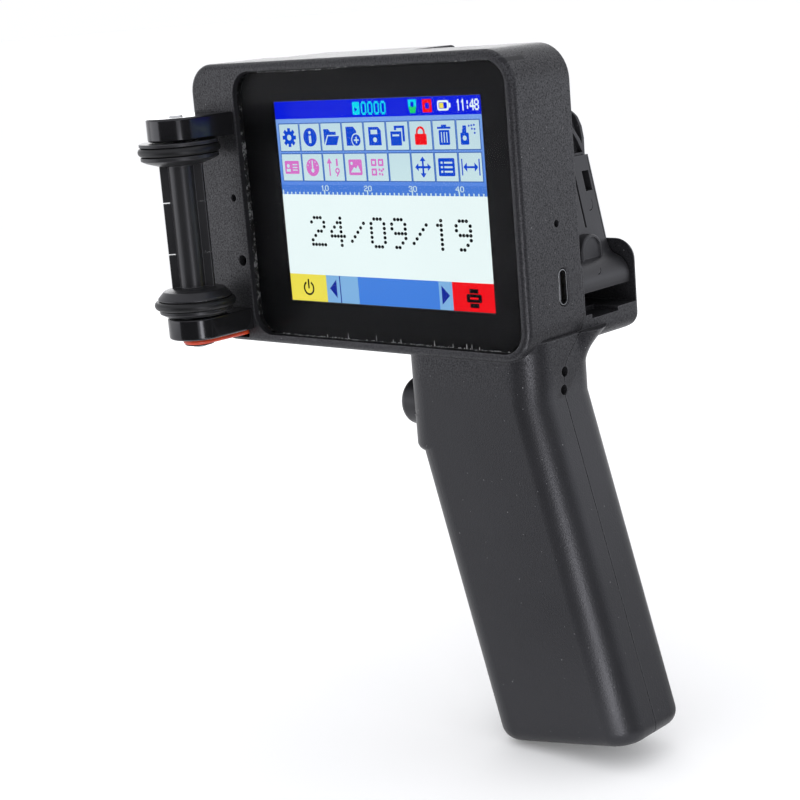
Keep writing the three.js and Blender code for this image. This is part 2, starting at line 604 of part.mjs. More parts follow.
function arm(level, bearingFrom, bearingTo) {
  const shape = new THREE.Shape();
  shape.moveTo(ROLLER.x + ARM_HALF, HEAD.front - GAP);
  shape.lineTo(ROLLER.x - ARM_HALF, HEAD.front - GAP);
  shape.lineTo(ROLLER.x - ARM_HALF, ROLLER.y);
  shape.absarc(ROLLER.x, ROLLER.y, ARM_HALF, Math.PI, 2 * Math.PI);
  return cut(
    solid(alongZ(shape, level.bottom, level.top, { edge: 0.5, edgeSteps: 2, curve: 12 })),
    solid(barZ(ROLLER.x, ROLLER.y, BEARING_R + GAP, bearingFrom, bearingTo, 28)),
    solid(barZ(ROLLER.x, ROLLER.y, SHAFT_R + 0.5, level.bottom - 5, level.top + 5, 24)),
    ...ARM_SCREW_X.map((x) => solid(barY(x, armMiddle(level), 1.3, -12, 0, 12))));
}
const bearingUpper = { bottom: UPPER_ARM.bottom, top: UPPER_ARM.bottom + 3.5 };
const bearingLower = { bottom: LOWER_ARM.top - 3.5, top: LOWER_ARM.top };
piece('upper_arm', arm(UPPER_ARM, UPPER_ARM.bottom - 5, bearingUpper.top + GAP), glossBlack);
piece('lower_arm', arm(LOWER_ARM, bearingLower.bottom - GAP, LOWER_ARM.top + 5), glossBlack);

for (const [name, level] of [['upper_bearing', bearingUpper], ['lower_bearing', bearingLower]]) {
  piece(name, cut(
    solid(barZ(ROLLER.x, ROLLER.y, BEARING_R, level.bottom, level.top, 28)),
    solid(barZ(ROLLER.x, ROLLER.y, SHAFT_R + GAP, level.bottom - 5, level.top + 5, 24))), steel);
}

[UPPER_ARM, LOWER_ARM].forEach((level, armIndex) => ARM_SCREW_X.forEach((x, index) => {
  const fastener = piece(`arm_screw_${armIndex * 2 + index + 1}`, screw(1, 9.5, 2.1, 1.6), steel);
  fastener.rotation.x = -Math.PI / 2;
  fastener.position.set(x, HEAD.front + WALL + GAP, armMiddle(level));
}));

// ---------------------------------------------------------------- roller

const FIN_R = 5.8;
const FIN_HALF = 0.8;
const FIN_TURN = THREE.MathUtils.degToRad(37);
const CORE = { top: 18.1, bottom: -28.2, neckTop: 11.9, neckBottom: -20.9, tube: 3.5 };
const grooveFloor = TYRE_R - 2 * TYRE_SECTION - GAP;
const grooveHalf = TYRE_SECTION + GAP;

function rollerCore() {
  const [upper, lower] = TYRE_Z;
  const body = solid(turned([
    [0, CORE.bottom], [8.2, CORE.bottom], [9.8, CORE.bottom + 0.9], [9.8, lower - grooveHalf],
    [grooveFloor, lower - grooveHalf], [grooveFloor, lower + grooveHalf], [9.9, lower + grooveHalf],
    [9.9, lower + grooveHalf + 0.5], [8.2, CORE.neckBottom - 0.6], [FIN_R, CORE.neckBottom],
    [CORE.tube, CORE.neckBottom], [CORE.tube, CORE.neckTop],
    [FIN_R, CORE.neckTop], [9, CORE.neckTop + 1], [10.4, CORE.neckTop + 1.7],
    [10.4, upper - grooveHalf], [grooveFloor, upper - grooveHalf], [grooveFloor, upper + grooveHalf],
    [10.5, upper + grooveHalf], [10.5, CORE.top], [0, CORE.top]], 40));
  const fins = [0, 1].map((half) => solid(
    box(0, FIN_R, -FIN_HALF, FIN_HALF, CORE.neckBottom - 0.2, CORE.neckTop + 0.2)
      .rotateZ(FIN_TURN + half * Math.PI)));
  const ring = (z) => cut(
    solid(barZ(0, 0, FIN_R + 2, z - 0.3, z + 0.3, 24)), solid(barZ(0, 0, CORE.tube, z - 2, z + 2, 48)));
  return cut(
    join(body, ...fins.map((fin) => cut(fin, ring(2), ring(-11.8)))),
    solid(barZ(0, 0, SHAFT_R + GAP, -60, 60, 24)));
}
const rollerAxis = new THREE.Group();
rollerAxis.position.set(ROLLER.x, ROLLER.y, 0);
printer.add(rollerAxis);
rollerAxis.add(piece('roller_core', rollerCore(), satinBlack));
['upper_tyre', 'lower_tyre'].forEach((name, index) => {
  const tyre = piece(name, new THREE.TorusGeometry(TYRE_R - TYRE_SECTION, TYRE_SECTION, 8, 40), blackRubber);
  tyre.position.z = TYRE_Z[index];
  rollerAxis.add(tyre);
});
rollerAxis.add(piece('roller_shaft', turned([
  [0, -37.2], [SHAFT_R - 0.3, -37.2], [SHAFT_R, -36.9], [SHAFT_R, 24.5], [SHAFT_R - 0.4, 24.9], [0, 24.9]],
24), steel));

// Round-belt pulley: two rims and a groove that clears the belt.
function pulley(beltRadius, bore) {
  const rim = beltRadius + 0.25;
  const root = beltRadius - BELT_HALF - 0.25;
  return cut(
    solid(turned([[0, -0.95], [rim, -0.95], [rim, -0.85], [root, -0.75], [root, 0.75], [rim, 0.85],
      [rim, 0.95], [0, 0.95]], 24)),
    solid(barZ(0, 0, bore, -3, 3, 20)));
}
const drivePulley = piece('drive_pulley', pulley(PULLEY_R, SHAFT_R + 0.2), satinBlack);
drivePulley.position.z = BELT_Z;
rollerAxis.add(drivePulley);

// ---------------------------------------------------------------- belt and encoder

// Outline of an open belt at a distance from its centre line, round both pulleys.
function beltLoop(offset, Path) {
  const [r1, r2] = [PULLEY_R + offset, ENCODER.r + offset];
  const across = Math.atan2(ENCODER.y - ROLLER.y, ENCODER.x - ROLLER.x);
  const spread = Math.hypot(ENCODER.x - ROLLER.x, ENCODER.y - ROLLER.y);
  const tangent = Math.acos((r1 - r2) / spread);
  const path = new Path();
  path.absarc(ROLLER.x, ROLLER.y, r1, across + tangent, across - tangent + 2 * Math.PI);
  path.absarc(ENCODER.x, ENCODER.y, r2, across - tangent, across + tangent);
  path.closePath();
  return path;
}
function driveBelt() {
  const shape = beltLoop(BELT_HALF, THREE.Shape);
  shape.holes.push(beltLoop(-BELT_HALF, THREE.Path));
  return alongZ(shape, BELT_Z - BELT_HALF, BELT_Z + BELT_HALF, { edge: 0.35, edgeSteps: 1, curve: 8 });
}
piece('drive_belt', driveBelt(), redRubber);

const encoderAxis = new THREE.Group();
encoderAxis.position.set(ENCODER.x, ENCODER.y, 0);
printer.add(encoderAxis);
const encoderPulley = piece('encoder_pulley', pulley(ENCODER.r, 1.3), satinBlack);
encoderPulley.position.z = BELT_Z;
encoderAxis.add(encoderPulley);
encoderAxis.add(piece('encoder_shaft', barZ(0, 0, 1, -36.6, -22.5, 16), steel));
encoderAxis.add(piece('encoder_disc', cut(
  solid(barZ(0, 0, 5.5, -25.4, -24.8, 32)), solid(barZ(0, 0, 1.3, -30, -20, 16))), clearDisc));
piece('encoder_bracket', cut(
  join(
    solid(box(-59, -49.8, 5.5, 14.5, -32.6, -30.8)),
    solid(box(-59, -49.8, 13.2, 14.5, -32.6, -27))),
  solid(barZ(ENCODER.x, ENCODER.y, 1.3, -40, -20, 16))), satinBlack);
piece('encoder_sensor', cut(
  solid(box(-60.6, -57, 6.5, 13, -28.4, -21.8)),
  solid(box(-59.9, -50, 0, 20, -26, -24.2))), glossBlack);

// ---------------------------------------------------------------- housing screws

HEAD_SCREWS.forEach(([x, z], index) => {
  const inBay = x < BAY_FULL_RIGHT;
  const seat = inBay ? HOLLOW.front + GAP : BAY.front + 0.05 + GAP;
  const fastener = piece(`head_screw_${index + 1}`, screw(1.05, inBay ? 13 : 11, 2.2, 1.4), steel);
  fastener.rotation.x = -Math.PI / 2;
  fastener.position.set(x, seat, z);
});
GRIP_SCREWS.forEach(([x, z], index) => {
  const fastener = piece(`grip_screw_${index + 1}`, screw(1.2, 9, 2.5, 1.6), steel);
  fastener.rotation.x = -Math.PI / 2;
  fastener.position.set(x, GRIP.back - 3.2 + GAP, z);
});

// ---------------------------------------------------------------- model frame

const span = new THREE.Box3().setFromObject(printer);
const centre = span.getCenter(V(0, 0, 0));
printer.position.set(-centre.x, -centre.y, -span.min.z);

const model = new THREE.Group();
model.add(printer);
export default model;
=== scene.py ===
"""Looks of a handheld date code printer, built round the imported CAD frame.

Shapes are drawn in the design frame of the CAD, in millimetres: +X runs right along the screen,
+Y away from the operator, +Z up, with the middle of the picture area as origin. piece() turns
them into metres in the row frame.
"""

from math import acos, atan2, cos, degrees, dist, hypot, pi, radians, sin, tan
from types import SimpleNamespace as Size

import bmesh
import bpy
import numpy as np
from mathutils import Matrix, Vector


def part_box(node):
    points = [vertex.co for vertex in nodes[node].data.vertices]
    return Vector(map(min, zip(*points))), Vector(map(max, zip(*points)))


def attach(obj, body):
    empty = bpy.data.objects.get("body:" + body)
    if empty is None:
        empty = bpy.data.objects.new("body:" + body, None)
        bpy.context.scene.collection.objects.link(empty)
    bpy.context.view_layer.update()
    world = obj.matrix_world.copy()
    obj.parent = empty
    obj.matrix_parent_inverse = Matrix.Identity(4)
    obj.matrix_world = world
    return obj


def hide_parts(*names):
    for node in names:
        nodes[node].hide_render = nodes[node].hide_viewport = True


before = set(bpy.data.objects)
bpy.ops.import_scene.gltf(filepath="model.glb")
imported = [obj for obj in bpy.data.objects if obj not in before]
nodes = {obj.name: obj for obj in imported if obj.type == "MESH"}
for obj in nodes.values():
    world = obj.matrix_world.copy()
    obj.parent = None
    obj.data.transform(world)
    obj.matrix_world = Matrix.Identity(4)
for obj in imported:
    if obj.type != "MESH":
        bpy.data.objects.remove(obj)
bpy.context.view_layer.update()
scene = bpy.context.scene

MM = 0.001
SMOOTH_UNDER = radians(32)
PANEL_LOW = Vector((-38.5, 0.25, -32.5))          # lowest corner of the display module
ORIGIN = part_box("lcd_module")[0] - PANEL_LOW * MM


# ---- mesh helpers


def rounded_rect(x0, y0, x1, y1, radius, n=8):
    """Counter-clockwise outline; radius is one number or [low left, low right, up right, up left]."""
    bl, br, tr, tl = radius if isinstance(radius, (list, tuple)) else [radius] * 4
    corners = ((x1 - br, y0 + br, br, -90), (x1 - tr, y1 - tr, tr, 0),
               (x0 + tl, y1 - tl, tl, 90), (x0 + bl, y0 + bl, bl, 180))
    return [(cx + r * cos(radians(a + 90 * i / n)),
             cy + r * sin(radians(a + 90 * i / n)))
            for cx, cy, r, a in corners for i in range(n + 1)]


def circle(cx, cy, r, n=32):
    return [(cx + r * cos(2 * pi * i / n), cy + r * sin(2 * pi * i / n))
            for i in range(n)]


def arc(cx, cy, r, start, end, n=8):
    """Points of an arc between two angles in degrees."""
    return [(cx + r * cos(radians(start + (end - start) * i / n)),
             cy + r * sin(radians(start + (end - start) * i / n)))
            for i in range(n + 1)]


def bezier(p0, p1, p2, p3, n=10):
    """Points of a cubic curve after its start."""
    points = []
    for i in range(1, n + 1):
        t = i / n
        a, b, c, d = (1 - t) ** 3, 3 * t * (1 - t) ** 2, 3 * t * t * (1 - t), t ** 3
        points.append((a * p0[0] + b * p1[0] + c * p2[0] + d * p3[0],
                       a * p0[1] + b * p1[1] + c * p2[1] + d * p3[1]))
    return points


def inset(points, by):
    """The outline moved inwards by a distance, corner by corner."""
    pts = np.array(points, float)
    ahead, behind = np.roll(pts, -1, 0) - pts, pts - np.roll(pts, 1, 0)
    area = 0.5 * np.sum(pts[:, 0] * np.roll(pts[:, 1], -1) - np.roll(pts[:, 0], -1) * pts[:, 1])
    turn = 1 if area > 0 else -1

    def normals(edges):
        length = np.maximum(np.linalg.norm(edges, axis=1, keepdims=True), 1e-9)
        return turn * np.stack([-edges[:, 1], edges[:, 0]], 1) / length

    n1, n2 = normals(ahead), normals(behind)
    middle = n1 + n2
    middle /= np.maximum(np.linalg.norm(middle, axis=1, keepdims=True), 1e-9)
    cosine = np.maximum(np.sum(middle * n1, 1, keepdims=True), 0.4)
    return [tuple(p) for p in pts + middle * by / cosine]


def loft(rings, closed_ends=True, loop=False):
    """Mesh through rings of equal length, listed as 3-D points."""
    bm = bmesh.new()
    grid = [[bm.verts.new(p) for p in ring] for ring in rings]
    n = len(rings[0])
    pairs = list(zip(grid[:-1], grid[1:])) + ([(grid[-1], grid[0])] if loop else [])
    for a, b in pairs:
        for i in range(n):
            bm.faces.new((a[i], a[(i + 1) % n], b[(i + 1) % n], b[i]))
    if closed_ends and not loop:
        bm.faces.new(grid[0])
        bm.faces.new(grid[-1])
    bmesh.ops.recalc_face_normals(bm, faces=bm.faces)
    return bm


def onto(axis, u, v, w):
    """Outline coordinates (u, v) and a height w along an axis as a point in space."""
    return {"x": (w, u, v), "y": (u, w, v), "z": (u, v, w)}[axis]


def prism(points, axis, low, high, low_edge=0.0, high_edge=0.0, steps=4):
    """Outline extruded along an axis, with rounded ends. Outlines are (Y, Z), (X, Z) or (X, Y)."""
    levels = []
    for i in range(steps + 1 if low_edge else 1):
        a = radians(90 * i / steps) if low_edge else pi / 2
        levels.append((low + low_edge * (1 - cos(a)), low_edge * (1 - sin(a))))
    for i in range(steps + 1 if high_edge else 1):
        a = radians(90 * (1 - i / steps)) if high_edge else pi / 2
        levels.append((high - high_edge * (1 - cos(a)), high_edge * (1 - sin(a))))
    return loft([[onto(axis, u, v, w) for u, v in (inset(points, by) if by > 1e-6 else points)]
                 for w, by in levels])


def block(x0, x1, y0, y1, z0, z1):
    bm = bmesh.new()
    bmesh.ops.create_cube(bm, size=1)
    for v in bm.verts:
        v.co = Vector(((x0 + x1) / 2 + v.co.x * (x1 - x0), (y0 + y1) / 2 + v.co.y * (y1 - y0),
                       (z0 + z1) / 2 + v.co.z * (z1 - z0)))
    return bm


def bar(axis, u, v, r, low, high, n=32, edge=0.0):
    return prism(circle(u, v, r, n), axis, low, high, edge, edge, 3)


def turned(profile, cx=0.0, cy=0.0, n=64):
    """Revolved about a vertical axis from (radius, height) pairs; end radii of 0 are allowed."""
    bm = bmesh.new()
    rings = []
    for r, z in profile:
        if r < 1e-6:
            rings.append([bm.verts.new((cx, cy, z))])
        else:
            rings.append([bm.verts.new((cx + r * cos(2 * pi * i / n),
                                        cy + r * sin(2 * pi * i / n), z))
                          for i in range(n)])
    for a, b in zip(rings[:-1], rings[1:]):
        for i in range(n):
            j = (i + 1) % n
            corners = [a[i % len(a)], a[j % len(a)], b[j % len(b)], b[i % len(b)]]
            corners = list(dict.fromkeys(corners))
            if len(corners) > 2:
                bm.faces.new(corners)
    bmesh.ops.recalc_face_normals(bm, faces=bm.faces)
    return bm


def softened(profile, r=0.25, n=3):
    """A turned profile with its corners rounded, apart from the two on the axis."""
    result = [profile[0]]
    for before, at, after in zip(profile[:-2], profile[1:-1], profile[2:]):
        d1, d2 = dist(before, at), dist(at, after)
        cut = min(r, d1 * 0.45, d2 * 0.45)
        start = tuple(at[k] + (before[k] - at[k]) * cut / d1 for k in (0, 1))
        end = tuple(at[k] + (after[k] - at[k]) * cut / d2 for k in (0, 1))
        for i in range(n + 1):
            t = i / n
            result.append(tuple((1 - t) ** 2 * start[k] + 2 * t * (1 - t) * at[k] + t * t * end[k]
                                for k in (0, 1)))
    result.append(profile[-1])
    return result


def torus(cx, cy, cz, big, small, n=96, m=20):
    rings = []
    for i in range(n):
        a = 2 * pi * i / n
        ring = []
        for j in range(m):
            b = 2 * pi * j / m
            r = big + small * cos(b)
            ring.append((cx + r * cos(a), cy + r * sin(a), cz + small * sin(b)))
        rings.append(ring)
    return loft(rings, loop=True)


def tube(points, r, n=12, loop=False):
    """Round tube along points, kept from twisting by carrying its frame along."""
    pts = [Vector(p) for p in points]
    count = len(pts)
    rings, side = [], None
    for i, p in enumerate(pts):
        if loop:
            tangent = (pts[(i + 1) % count] - pts[i - 1]).normalized()
        else:
            tangent = (pts[min(i + 1, count - 1)] - pts[max(i - 1, 0)]).normalized()
        if side is None:
            side = tangent.orthogonal().normalized()
        side = (side - tangent * side.dot(tangent)).normalized()
        up = tangent.cross(side)
        rings.append([p + (side * cos(2 * pi * k / n)
                           + up * sin(2 * pi * k / n)) * r for k in range(n)])
    return loft(rings, loop=loop)


def moved(bm, matrix):
    bmesh.ops.transform(bm, matrix=matrix, verts=bm.verts)
    bmesh.ops.recalc_face_normals(bm, faces=bm.faces)
    return bm


def as_object(bm, name="tool"):
    mesh = bpy.data.meshes.new(name)
    bm.to_mesh(mesh)
    bm.free()
    obj = bpy.data.objects.new(name, mesh)
    scene.collection.objects.link(obj)
    return obj


def combined(body, joins=(), cuts=(), keeps=()):
    """Mesh of a body joined with, cut by and limited to other meshes."""
    target = as_object(body)
    tools = []
    for operation, group in (("UNION", joins), ("DIFFERENCE", cuts), ("INTERSECT", keeps)):
        for bm in group:
            tool = as_object(bm)
            tools.append(tool)
            modifier = target.modifiers.new("combine", "BOOLEAN")
            modifier.operation = operation
            modifier.object = tool
            modifier.solver = "MANIFOLD"
    graph = bpy.context.evaluated_depsgraph_get()
    result = bmesh.new()
    result.from_mesh(target.evaluated_get(graph).to_mesh())
    for obj in [target, *tools]:
        bpy.data.objects.remove(obj)
    return result


def merged(*parts):
    """Several separate solids in one mesh."""
    result = bmesh.new()
    for bm in parts:
        mesh = bpy.data.meshes.new("part")
        bm.to_mesh(mesh)
        bm.free()
        result.from_mesh(mesh)
        bpy.data.meshes.remove(mesh)
    return result


def piece(name, bm, material, replaces=(), body="housing"):
    """A finished piece in the row frame, shaded smooth up to an angle and riding on a body."""
    for v in bm.verts:
        v.co = v.co * MM + ORIGIN
    for f in bm.faces:
        f.smooth = True
    for e in bm.edges:
        e.smooth = len(e.link_faces) == 2 and e.calc_face_angle(0) < SMOOTH_UNDER
    obj = as_object(bm, name)
    obj.data.materials.append(material)
    weighted = obj.modifiers.new("normals", "WEIGHTED_NORMAL")
    weighted.keep_sharp = True
    weighted.weight = 100
    graph = bpy.context.evaluated_depsgraph_get()
    mesh = bpy.data.meshes.new_from_object(obj.evaluated_get(graph))
    obj.modifiers.clear()
    obj.data = mesh
    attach(obj, body)
    if replaces:
        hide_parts(*replaces)
    return obj


# ---- material helpers


class Graph:
    """A new material's node tree with short calls for the nodes used here."""

    def __init__(self, name):
        self.material = bpy.data.materials.new(name)
        self.material.use_nodes = True
        self.tree = self.material.node_tree
        self.shader = self.tree.nodes["Principled BSDF"]
        self.place = self.add("TexCoord").outputs["Object"]

    def put(self, socket, value):
        """Link a socket to another, or set it; a colour is given by three numbers."""
        if isinstance(value, bpy.types.NodeSocket):
            self.tree.links.new(value, socket)
        else:
            socket.default_value = (*value, 1) if socket.type == "RGBA" else value

    def add(self, kind, sockets=(), **settings):
        node = self.tree.nodes.new("ShaderNode" + kind)
        for key, value in settings.items():
            setattr(node, key, value)
        for key, value in dict(sockets).items():
            self.put(node.inputs[key], value)
        return node

    def shade(self, **values):
        for key, value in values.items():
            self.put(self.shader.inputs[key.replace("_", " ")], value)

    def noise(self, scale, detail=3.0, rough=0.55, stretch=None):
        place = self.place
        if stretch:
            place = self.add("Mapping", {"Scale": stretch, "Vector": place}).outputs["Vector"]
        return self.add("TexNoise", {"Scale": scale, "Detail": detail, "Roughness": rough,
                                     "Vector": place}).outputs["Fac"]

    def ramp(self, source, stops):
        """Colour ramp from (position, colour) pairs; a colour may be one grey number."""
        node = self.add("ValToRGB", {"Fac": source})
        elements = node.color_ramp.elements
        while len(elements) < len(stops):
            elements.new(0.5)
        for element, (position, colour) in zip(elements, stops):
            element.position = position
            element.color = (*(colour if isinstance(colour, tuple) else (colour,) * 3), 1)
        return node.outputs["Color"]

    def math(self, operation, *values):
        node = self.add("Math", enumerate(values), operation=operation)
        return node.outputs["Value"]

    def mix(self, factor, a, b, blend="MIX"):
        return self.add("Mix", {"Factor": factor, 6: a, 7: b}, data_type="RGBA",
                        blend_type=blend).outputs[2]

    def specks(self, cell, size, share, seed=0.0):
        """Mask of small round specks: one per cell in a share of the cells."""
        place = self.add("Mapping", {"Location": (seed, seed * 0.7, seed * 0.3),
                                     "Vector": self.place}).outputs["Vector"]
        dots = self.add("TexVoronoi", {"Scale": 1 / (cell * MM), "Vector": place}).outputs
        red = self.add("SeparateColor", {"Color": dots["Color"]}).outputs["Red"]
        return self.math("MULTIPLY", self.math("LESS_THAN", dots["Distance"], size / cell),
                         self.math("LESS_THAN", red, share))

    def bevelled(self, radius_mm):
        return self.add("Bevel", {"Radius": radius_mm * MM}, samples=4).outputs["Normal"]

    def bump(self, height, strength, distance_mm, rounding_mm=0.0):
        sockets = {"Strength": strength, "Distance": distance_mm * MM, "Height": height}
        if rounding_mm:
            sockets["Normal"] = self.bevelled(rounding_mm)
        self.shade(Normal=self.add("Bump", sockets).outputs["Normal"])

    def edges(self, radius_mm):
        """Mask that is bright along convex and concave edges."""
        flat = self.add("NewGeometry").outputs["Normal"]
        likeness = self.add("VectorMath", {0: self.bevelled(radius_mm), 1: flat},
                            operation="DOT_PRODUCT").outputs["Value"]
        return self.math("SUBTRACT", 1.0, likeness)

    def axes(self):
        return self.add("SeparateXYZ", {"Vector": self.place}).outputs

    def climb(self, low, high):
        """Share of the way up between two heights."""
        return self.add("MapRange", {"Value": self.axes()["Z"], "From Min": low * MM + ORIGIN.z,
                                     "From Max": high * MM + ORIGIN.z}).outputs["Result"]


DUST = (0.25, 0.25, 0.26)
# Box of the screen recess, where the housing's reflection is halved as painted shade.
RECESS_ZONE = ((-1.15, 46.4), (1.2, 3.8), (-0.55, 35.3))       # middle and half size on each axis


def moulded(name, dark, light, rough, grain_mm, grain_depth, dust=0.0, level=0.5, edge_tone=None,
            rounding=0.25, cloud=18, glint=0.0):
    """Moulded plastic: grained surface, faint clouding, handled sheen, optional dust, and edges
    lightened by wear and a painted edge highlight.
    """
    g = Graph(name)
    colour = g.ramp(g.noise(cloud, 4, 0.6), [(0.35, dark), (0.65, light)])
    if edge_tone:
        # Lighter edges in patches: partly rubbed wear, partly a painted edge highlight.
        edge_wear_and_highlight = g.math("MULTIPLY", g.edges(0.5), g.noise(420, 4, 0.7))
        colour = g.mix(g.ramp(edge_wear_and_highlight, [(0.01, 0), (0.12, 0.75)]), colour, edge_tone)
    if dust:
        mask = g.math("MAXIMUM", g.specks(1.1, 0.09, dust * 0.6), g.specks(2.3, 0.14, dust, 0.31))
        colour = g.mix(g.math("MULTIPLY", mask, 0.6), colour, DUST)
    g.shade(Base_Color=colour, Specular_IOR_Level=level, Specular_Tint=(0.92, 0.92, 1.0),
            Roughness=g.math("MULTIPLY_ADD", g.noise(60, 4, 0.6), 0.16, rough - 0.08))
    grain = g.noise(1 / (grain_mm * MM), 2.5, 0.6)
    if glint:
        # The grain sparkles on the head, is worn smooth down the grip and absent in the recess, where
        # the reflection is also halved as painted shade.
        inside = 1.0
        for place, (middle, half), start in zip(g.axes(), RECESS_ZONE, ORIGIN):
            inside = g.math("MULTIPLY", inside,
                            g.math("COMPARE", place, middle * MM + start, half * MM))
        grain = g.math("MULTIPLY", g.math("SUBTRACT", grain, 0.5), g.math("SUBTRACT", 1.0, inside))
        shine = g.math("MULTIPLY_ADD", g.math("MULTIPLY", grain, g.climb(-50, -36)), glint,
                       g.math("MULTIPLY_ADD", inside, -0.5 * level, level))
        g.shade(Specular_IOR_Level=shine)
    g.bump(grain, 0.7, grain_depth, rounding)
    return g.material


def metal(name, colour, rough, brush=(1, 1, 1)):
    g = Graph(name)
    marks = g.noise(900, 4, 0.7, brush)
    g.shade(Base_Color=g.ramp(marks, [(0.3, tuple(c * 0.8 for c in colour)), (0.7, colour)]),
            Roughness=g.math("MULTIPLY_ADD", marks, 0.2, rough - 0.1), Metallic=1.0)
    g.bump(marks, 0.25, 0.01, 0.08)
    return g.material


def srgb(code):
    """Linear colour from a six-digit hex code."""
    values = [int(code[i:i + 2], 16) / 255 for i in (0, 2, 4)]
    return tuple(v / 12.92 if v <= 0.04045 else ((v + 0.055) / 1.055) ** 2.4 for v in values)


def lit(name, colour, low=0, high=0, low_colour=None):
    """A lit area of the picture: its colour with the display's fine dot grid and slight unevenness."""
    g = Graph(name)
    grid = g.add("TexVoronoi", {"Scale": 1 / (DISPLAY_PITCH * MM), "Randomness": 0.0,
                                "Vector": g.place}, feature="DISTANCE_TO_EDGE")
    dots = g.ramp(grid.outputs["Distance"], [(0.0, 0.96), (0.12, 1.0)])
    cloud = g.ramp(g.noise(30, 2), [(0.3, 0.96), (0.7, 1.0)])
    base = srgb(colour)
    if low_colour:
        base = g.mix(g.climb(low, high), srgb(low_colour), base)
    glow = g.mix(1.0, g.mix(1.0, dots, cloud, "MULTIPLY"), base, "MULTIPLY")
    g.shade(Base_Color=(0.002,) * 3, Roughness=0.6, Specular_IOR_Level=0.0, Emission_Color=glow,
            Emission_Strength=1.0)
    return g.material


def cover_glass():
    g = Graph("cover_glass")
    dust = g.math("MAXIMUM", g.specks(3.7, 0.09, 0.07, 0.11), g.specks(9.0, 0.14, 0.2, 0.57))
    g.shade(Base_Color=g.ramp(dust, [(0.0, (0.96, 0.97, 0.97)), (1.0, 0.55)]), IOR=1.07,
            Roughness=g.ramp(g.noise(14, 4, 0.65), [(0.4, 0.02), (0.75, 0.075)]),
            Transmission_Weight=g.math("SUBTRACT", 1.0, g.math("MULTIPLY", dust, 0.7)))
    return g.material


def edge_adhesive():
    """Black edge adhesive with pale dried flakes standing on it."""
    g = Graph("edge_adhesive")
    flakes = g.math("MULTIPLY", g.noise(160, 4, 0.7), g.noise(900, 3, 0.7))
    tone = g.ramp(flakes, [(0.27, (0.006, 0.006, 0.007)), (0.34, (0.28, 0.28, 0.29))])
    g.shade(Base_Color=tone, Roughness=0.55)
    g.bump(flakes, 0.8, 0.1)
    return g.material


DISPLAY_PITCH = 0.219
HOUSING = moulded("textured_black_plastic", (0.0115, 0.0115, 0.0130), (0.0155, 0.0155, 0.0175), 0.38,
                  0.42, 0.09, dust=0.14, level=0.37, edge_tone=(0.055, 0.055, 0.06),
                  glint=1.6)
LATCH_PLASTIC = moulded("latch_black_plastic", (0.0135, 0.0135, 0.015), (0.018, 0.018, 0.020), 0.42,
                        0.5, 0.04, dust=0.05, level=0.45, edge_tone=(0.06, 0.06, 0.065))
GLOSSY = moulded("polished_black_plastic", (0.006, 0.006, 0.0065), (0.009, 0.009, 0.010), 0.16,
                 1.4, 0.01, dust=0.04, level=0.5, rounding=0.15)
SATIN = moulded("satin_black_plastic", (0.011, 0.011, 0.012), (0.015, 0.015, 0.016), 0.36,
                0.8, 0.02, dust=0.06, level=0.4, edge_tone=(0.07, 0.07, 0.075), rounding=0.15)
RUBBER = moulded("black_rubber", (0.005, 0.005, 0.005), (0.009, 0.009, 0.009), 0.42,
                 0.35, 0.02, dust=0.05, level=0.32, rounding=0.0)
RED_BELT = moulded("red_urethane", (0.42, 0.035, 0.012), (0.60, 0.065, 0.02), 0.38,
                   0.5, 0.02, level=0.5, rounding=0.0, cloud=300)
PRINT_BLACK = moulded("glass_back_print", (0.0075, 0.0075, 0.0085), (0.009, 0.009, 0.0102), 0.5,
                      0.3, 0.002, dust=0.16, level=0.06, rounding=0.0)
STEEL = metal("plated_steel", (0.62, 0.63, 0.65), 0.3, (1, 1, 0.15))
FLAKE = moulded("dried_adhesive", (0.16, 0.16, 0.17), (0.5, 0.5, 0.51), 0.5, 0.2, 0.02, cloud=600,
                rounding=0.0)
SOCKET_STEEL = metal("socket_steel", (0.26, 0.265, 0.28), 0.3)
DARK_STEEL = metal("darkened_steel", (0.16, 0.16, 0.165), 0.42, (0.2, 1, 1))
GOLD = metal("contact_gold", (0.80, 0.58, 0.25), 0.3)
BOARD_GREEN = moulded("solder_resist", (0.01, 0.07, 0.03), (0.015, 0.1, 0.045), 0.35, 0.6, 0.02)
CELL_BLUE = moulded("cell_wrap", (0.02, 0.08, 0.3), (0.03, 0.1, 0.36), 0.35, 0.9, 0.02)
DISC_CLEAR = moulded("disc_film", (0.3, 0.32, 0.34), (0.4, 0.42, 0.44), 0.2, 0.9, 0.01)


GLASS = cover_glass()
SEAL_BLACK = edge_adhesive()

# ---- driving dimensions, mm

WALL, GAP, SEAM = 2.2, 0.3, 0.3
HEAD = Size(x0=-64.1, x1=47.4, z0=-38.1, z1=37.0, y0=-3.0, y1=19.0)
HEAD_RADII = [7.5, 9.0, 9.0, 7.5]
HEAD_EDGE = 1.6
RECESS = (-47.4, -35.7, 45.1, 34.6)
RECESS_R = 6.1
BAY = Size(x0=-64.1, x1=45.9, z0=-37.2, z1=36.7, y0=19.3, y1=45.5)
BAY_STEP = (-9.5, 35.7)
CHEEK_TOP = -14.2
LEAN = radians(14.9)
GRIP = Size(x0=-10.6, x1=32.98, y0=-2.0, y1=24.1)
GRIP_R, GRIP_TOP, GRIP_END, GRIP_WALL = 7.5, 30.0, 143.43, 2.3
BASE_SHEAR = tan(radians(5.5))
BASE_ROUND = 4.0
SEAM_Y = 10.0
STRAP_X, STRAP_BOTTOM, NECK_RIGHT = 3.7, -63.5, 47.0
TRIGGER = Size(y=SEAM_Y, z=-53.0, r=6.4)
ROLLER = (-56.0, -16.0)
UPPER_ARM, LOWER_ARM = (18.4, 24.5), (-34.4, -28.6)
TYRE_R, TYRE_SECTION, TYRE_Z = 11.0, 1.2, (15.9, -25.1)
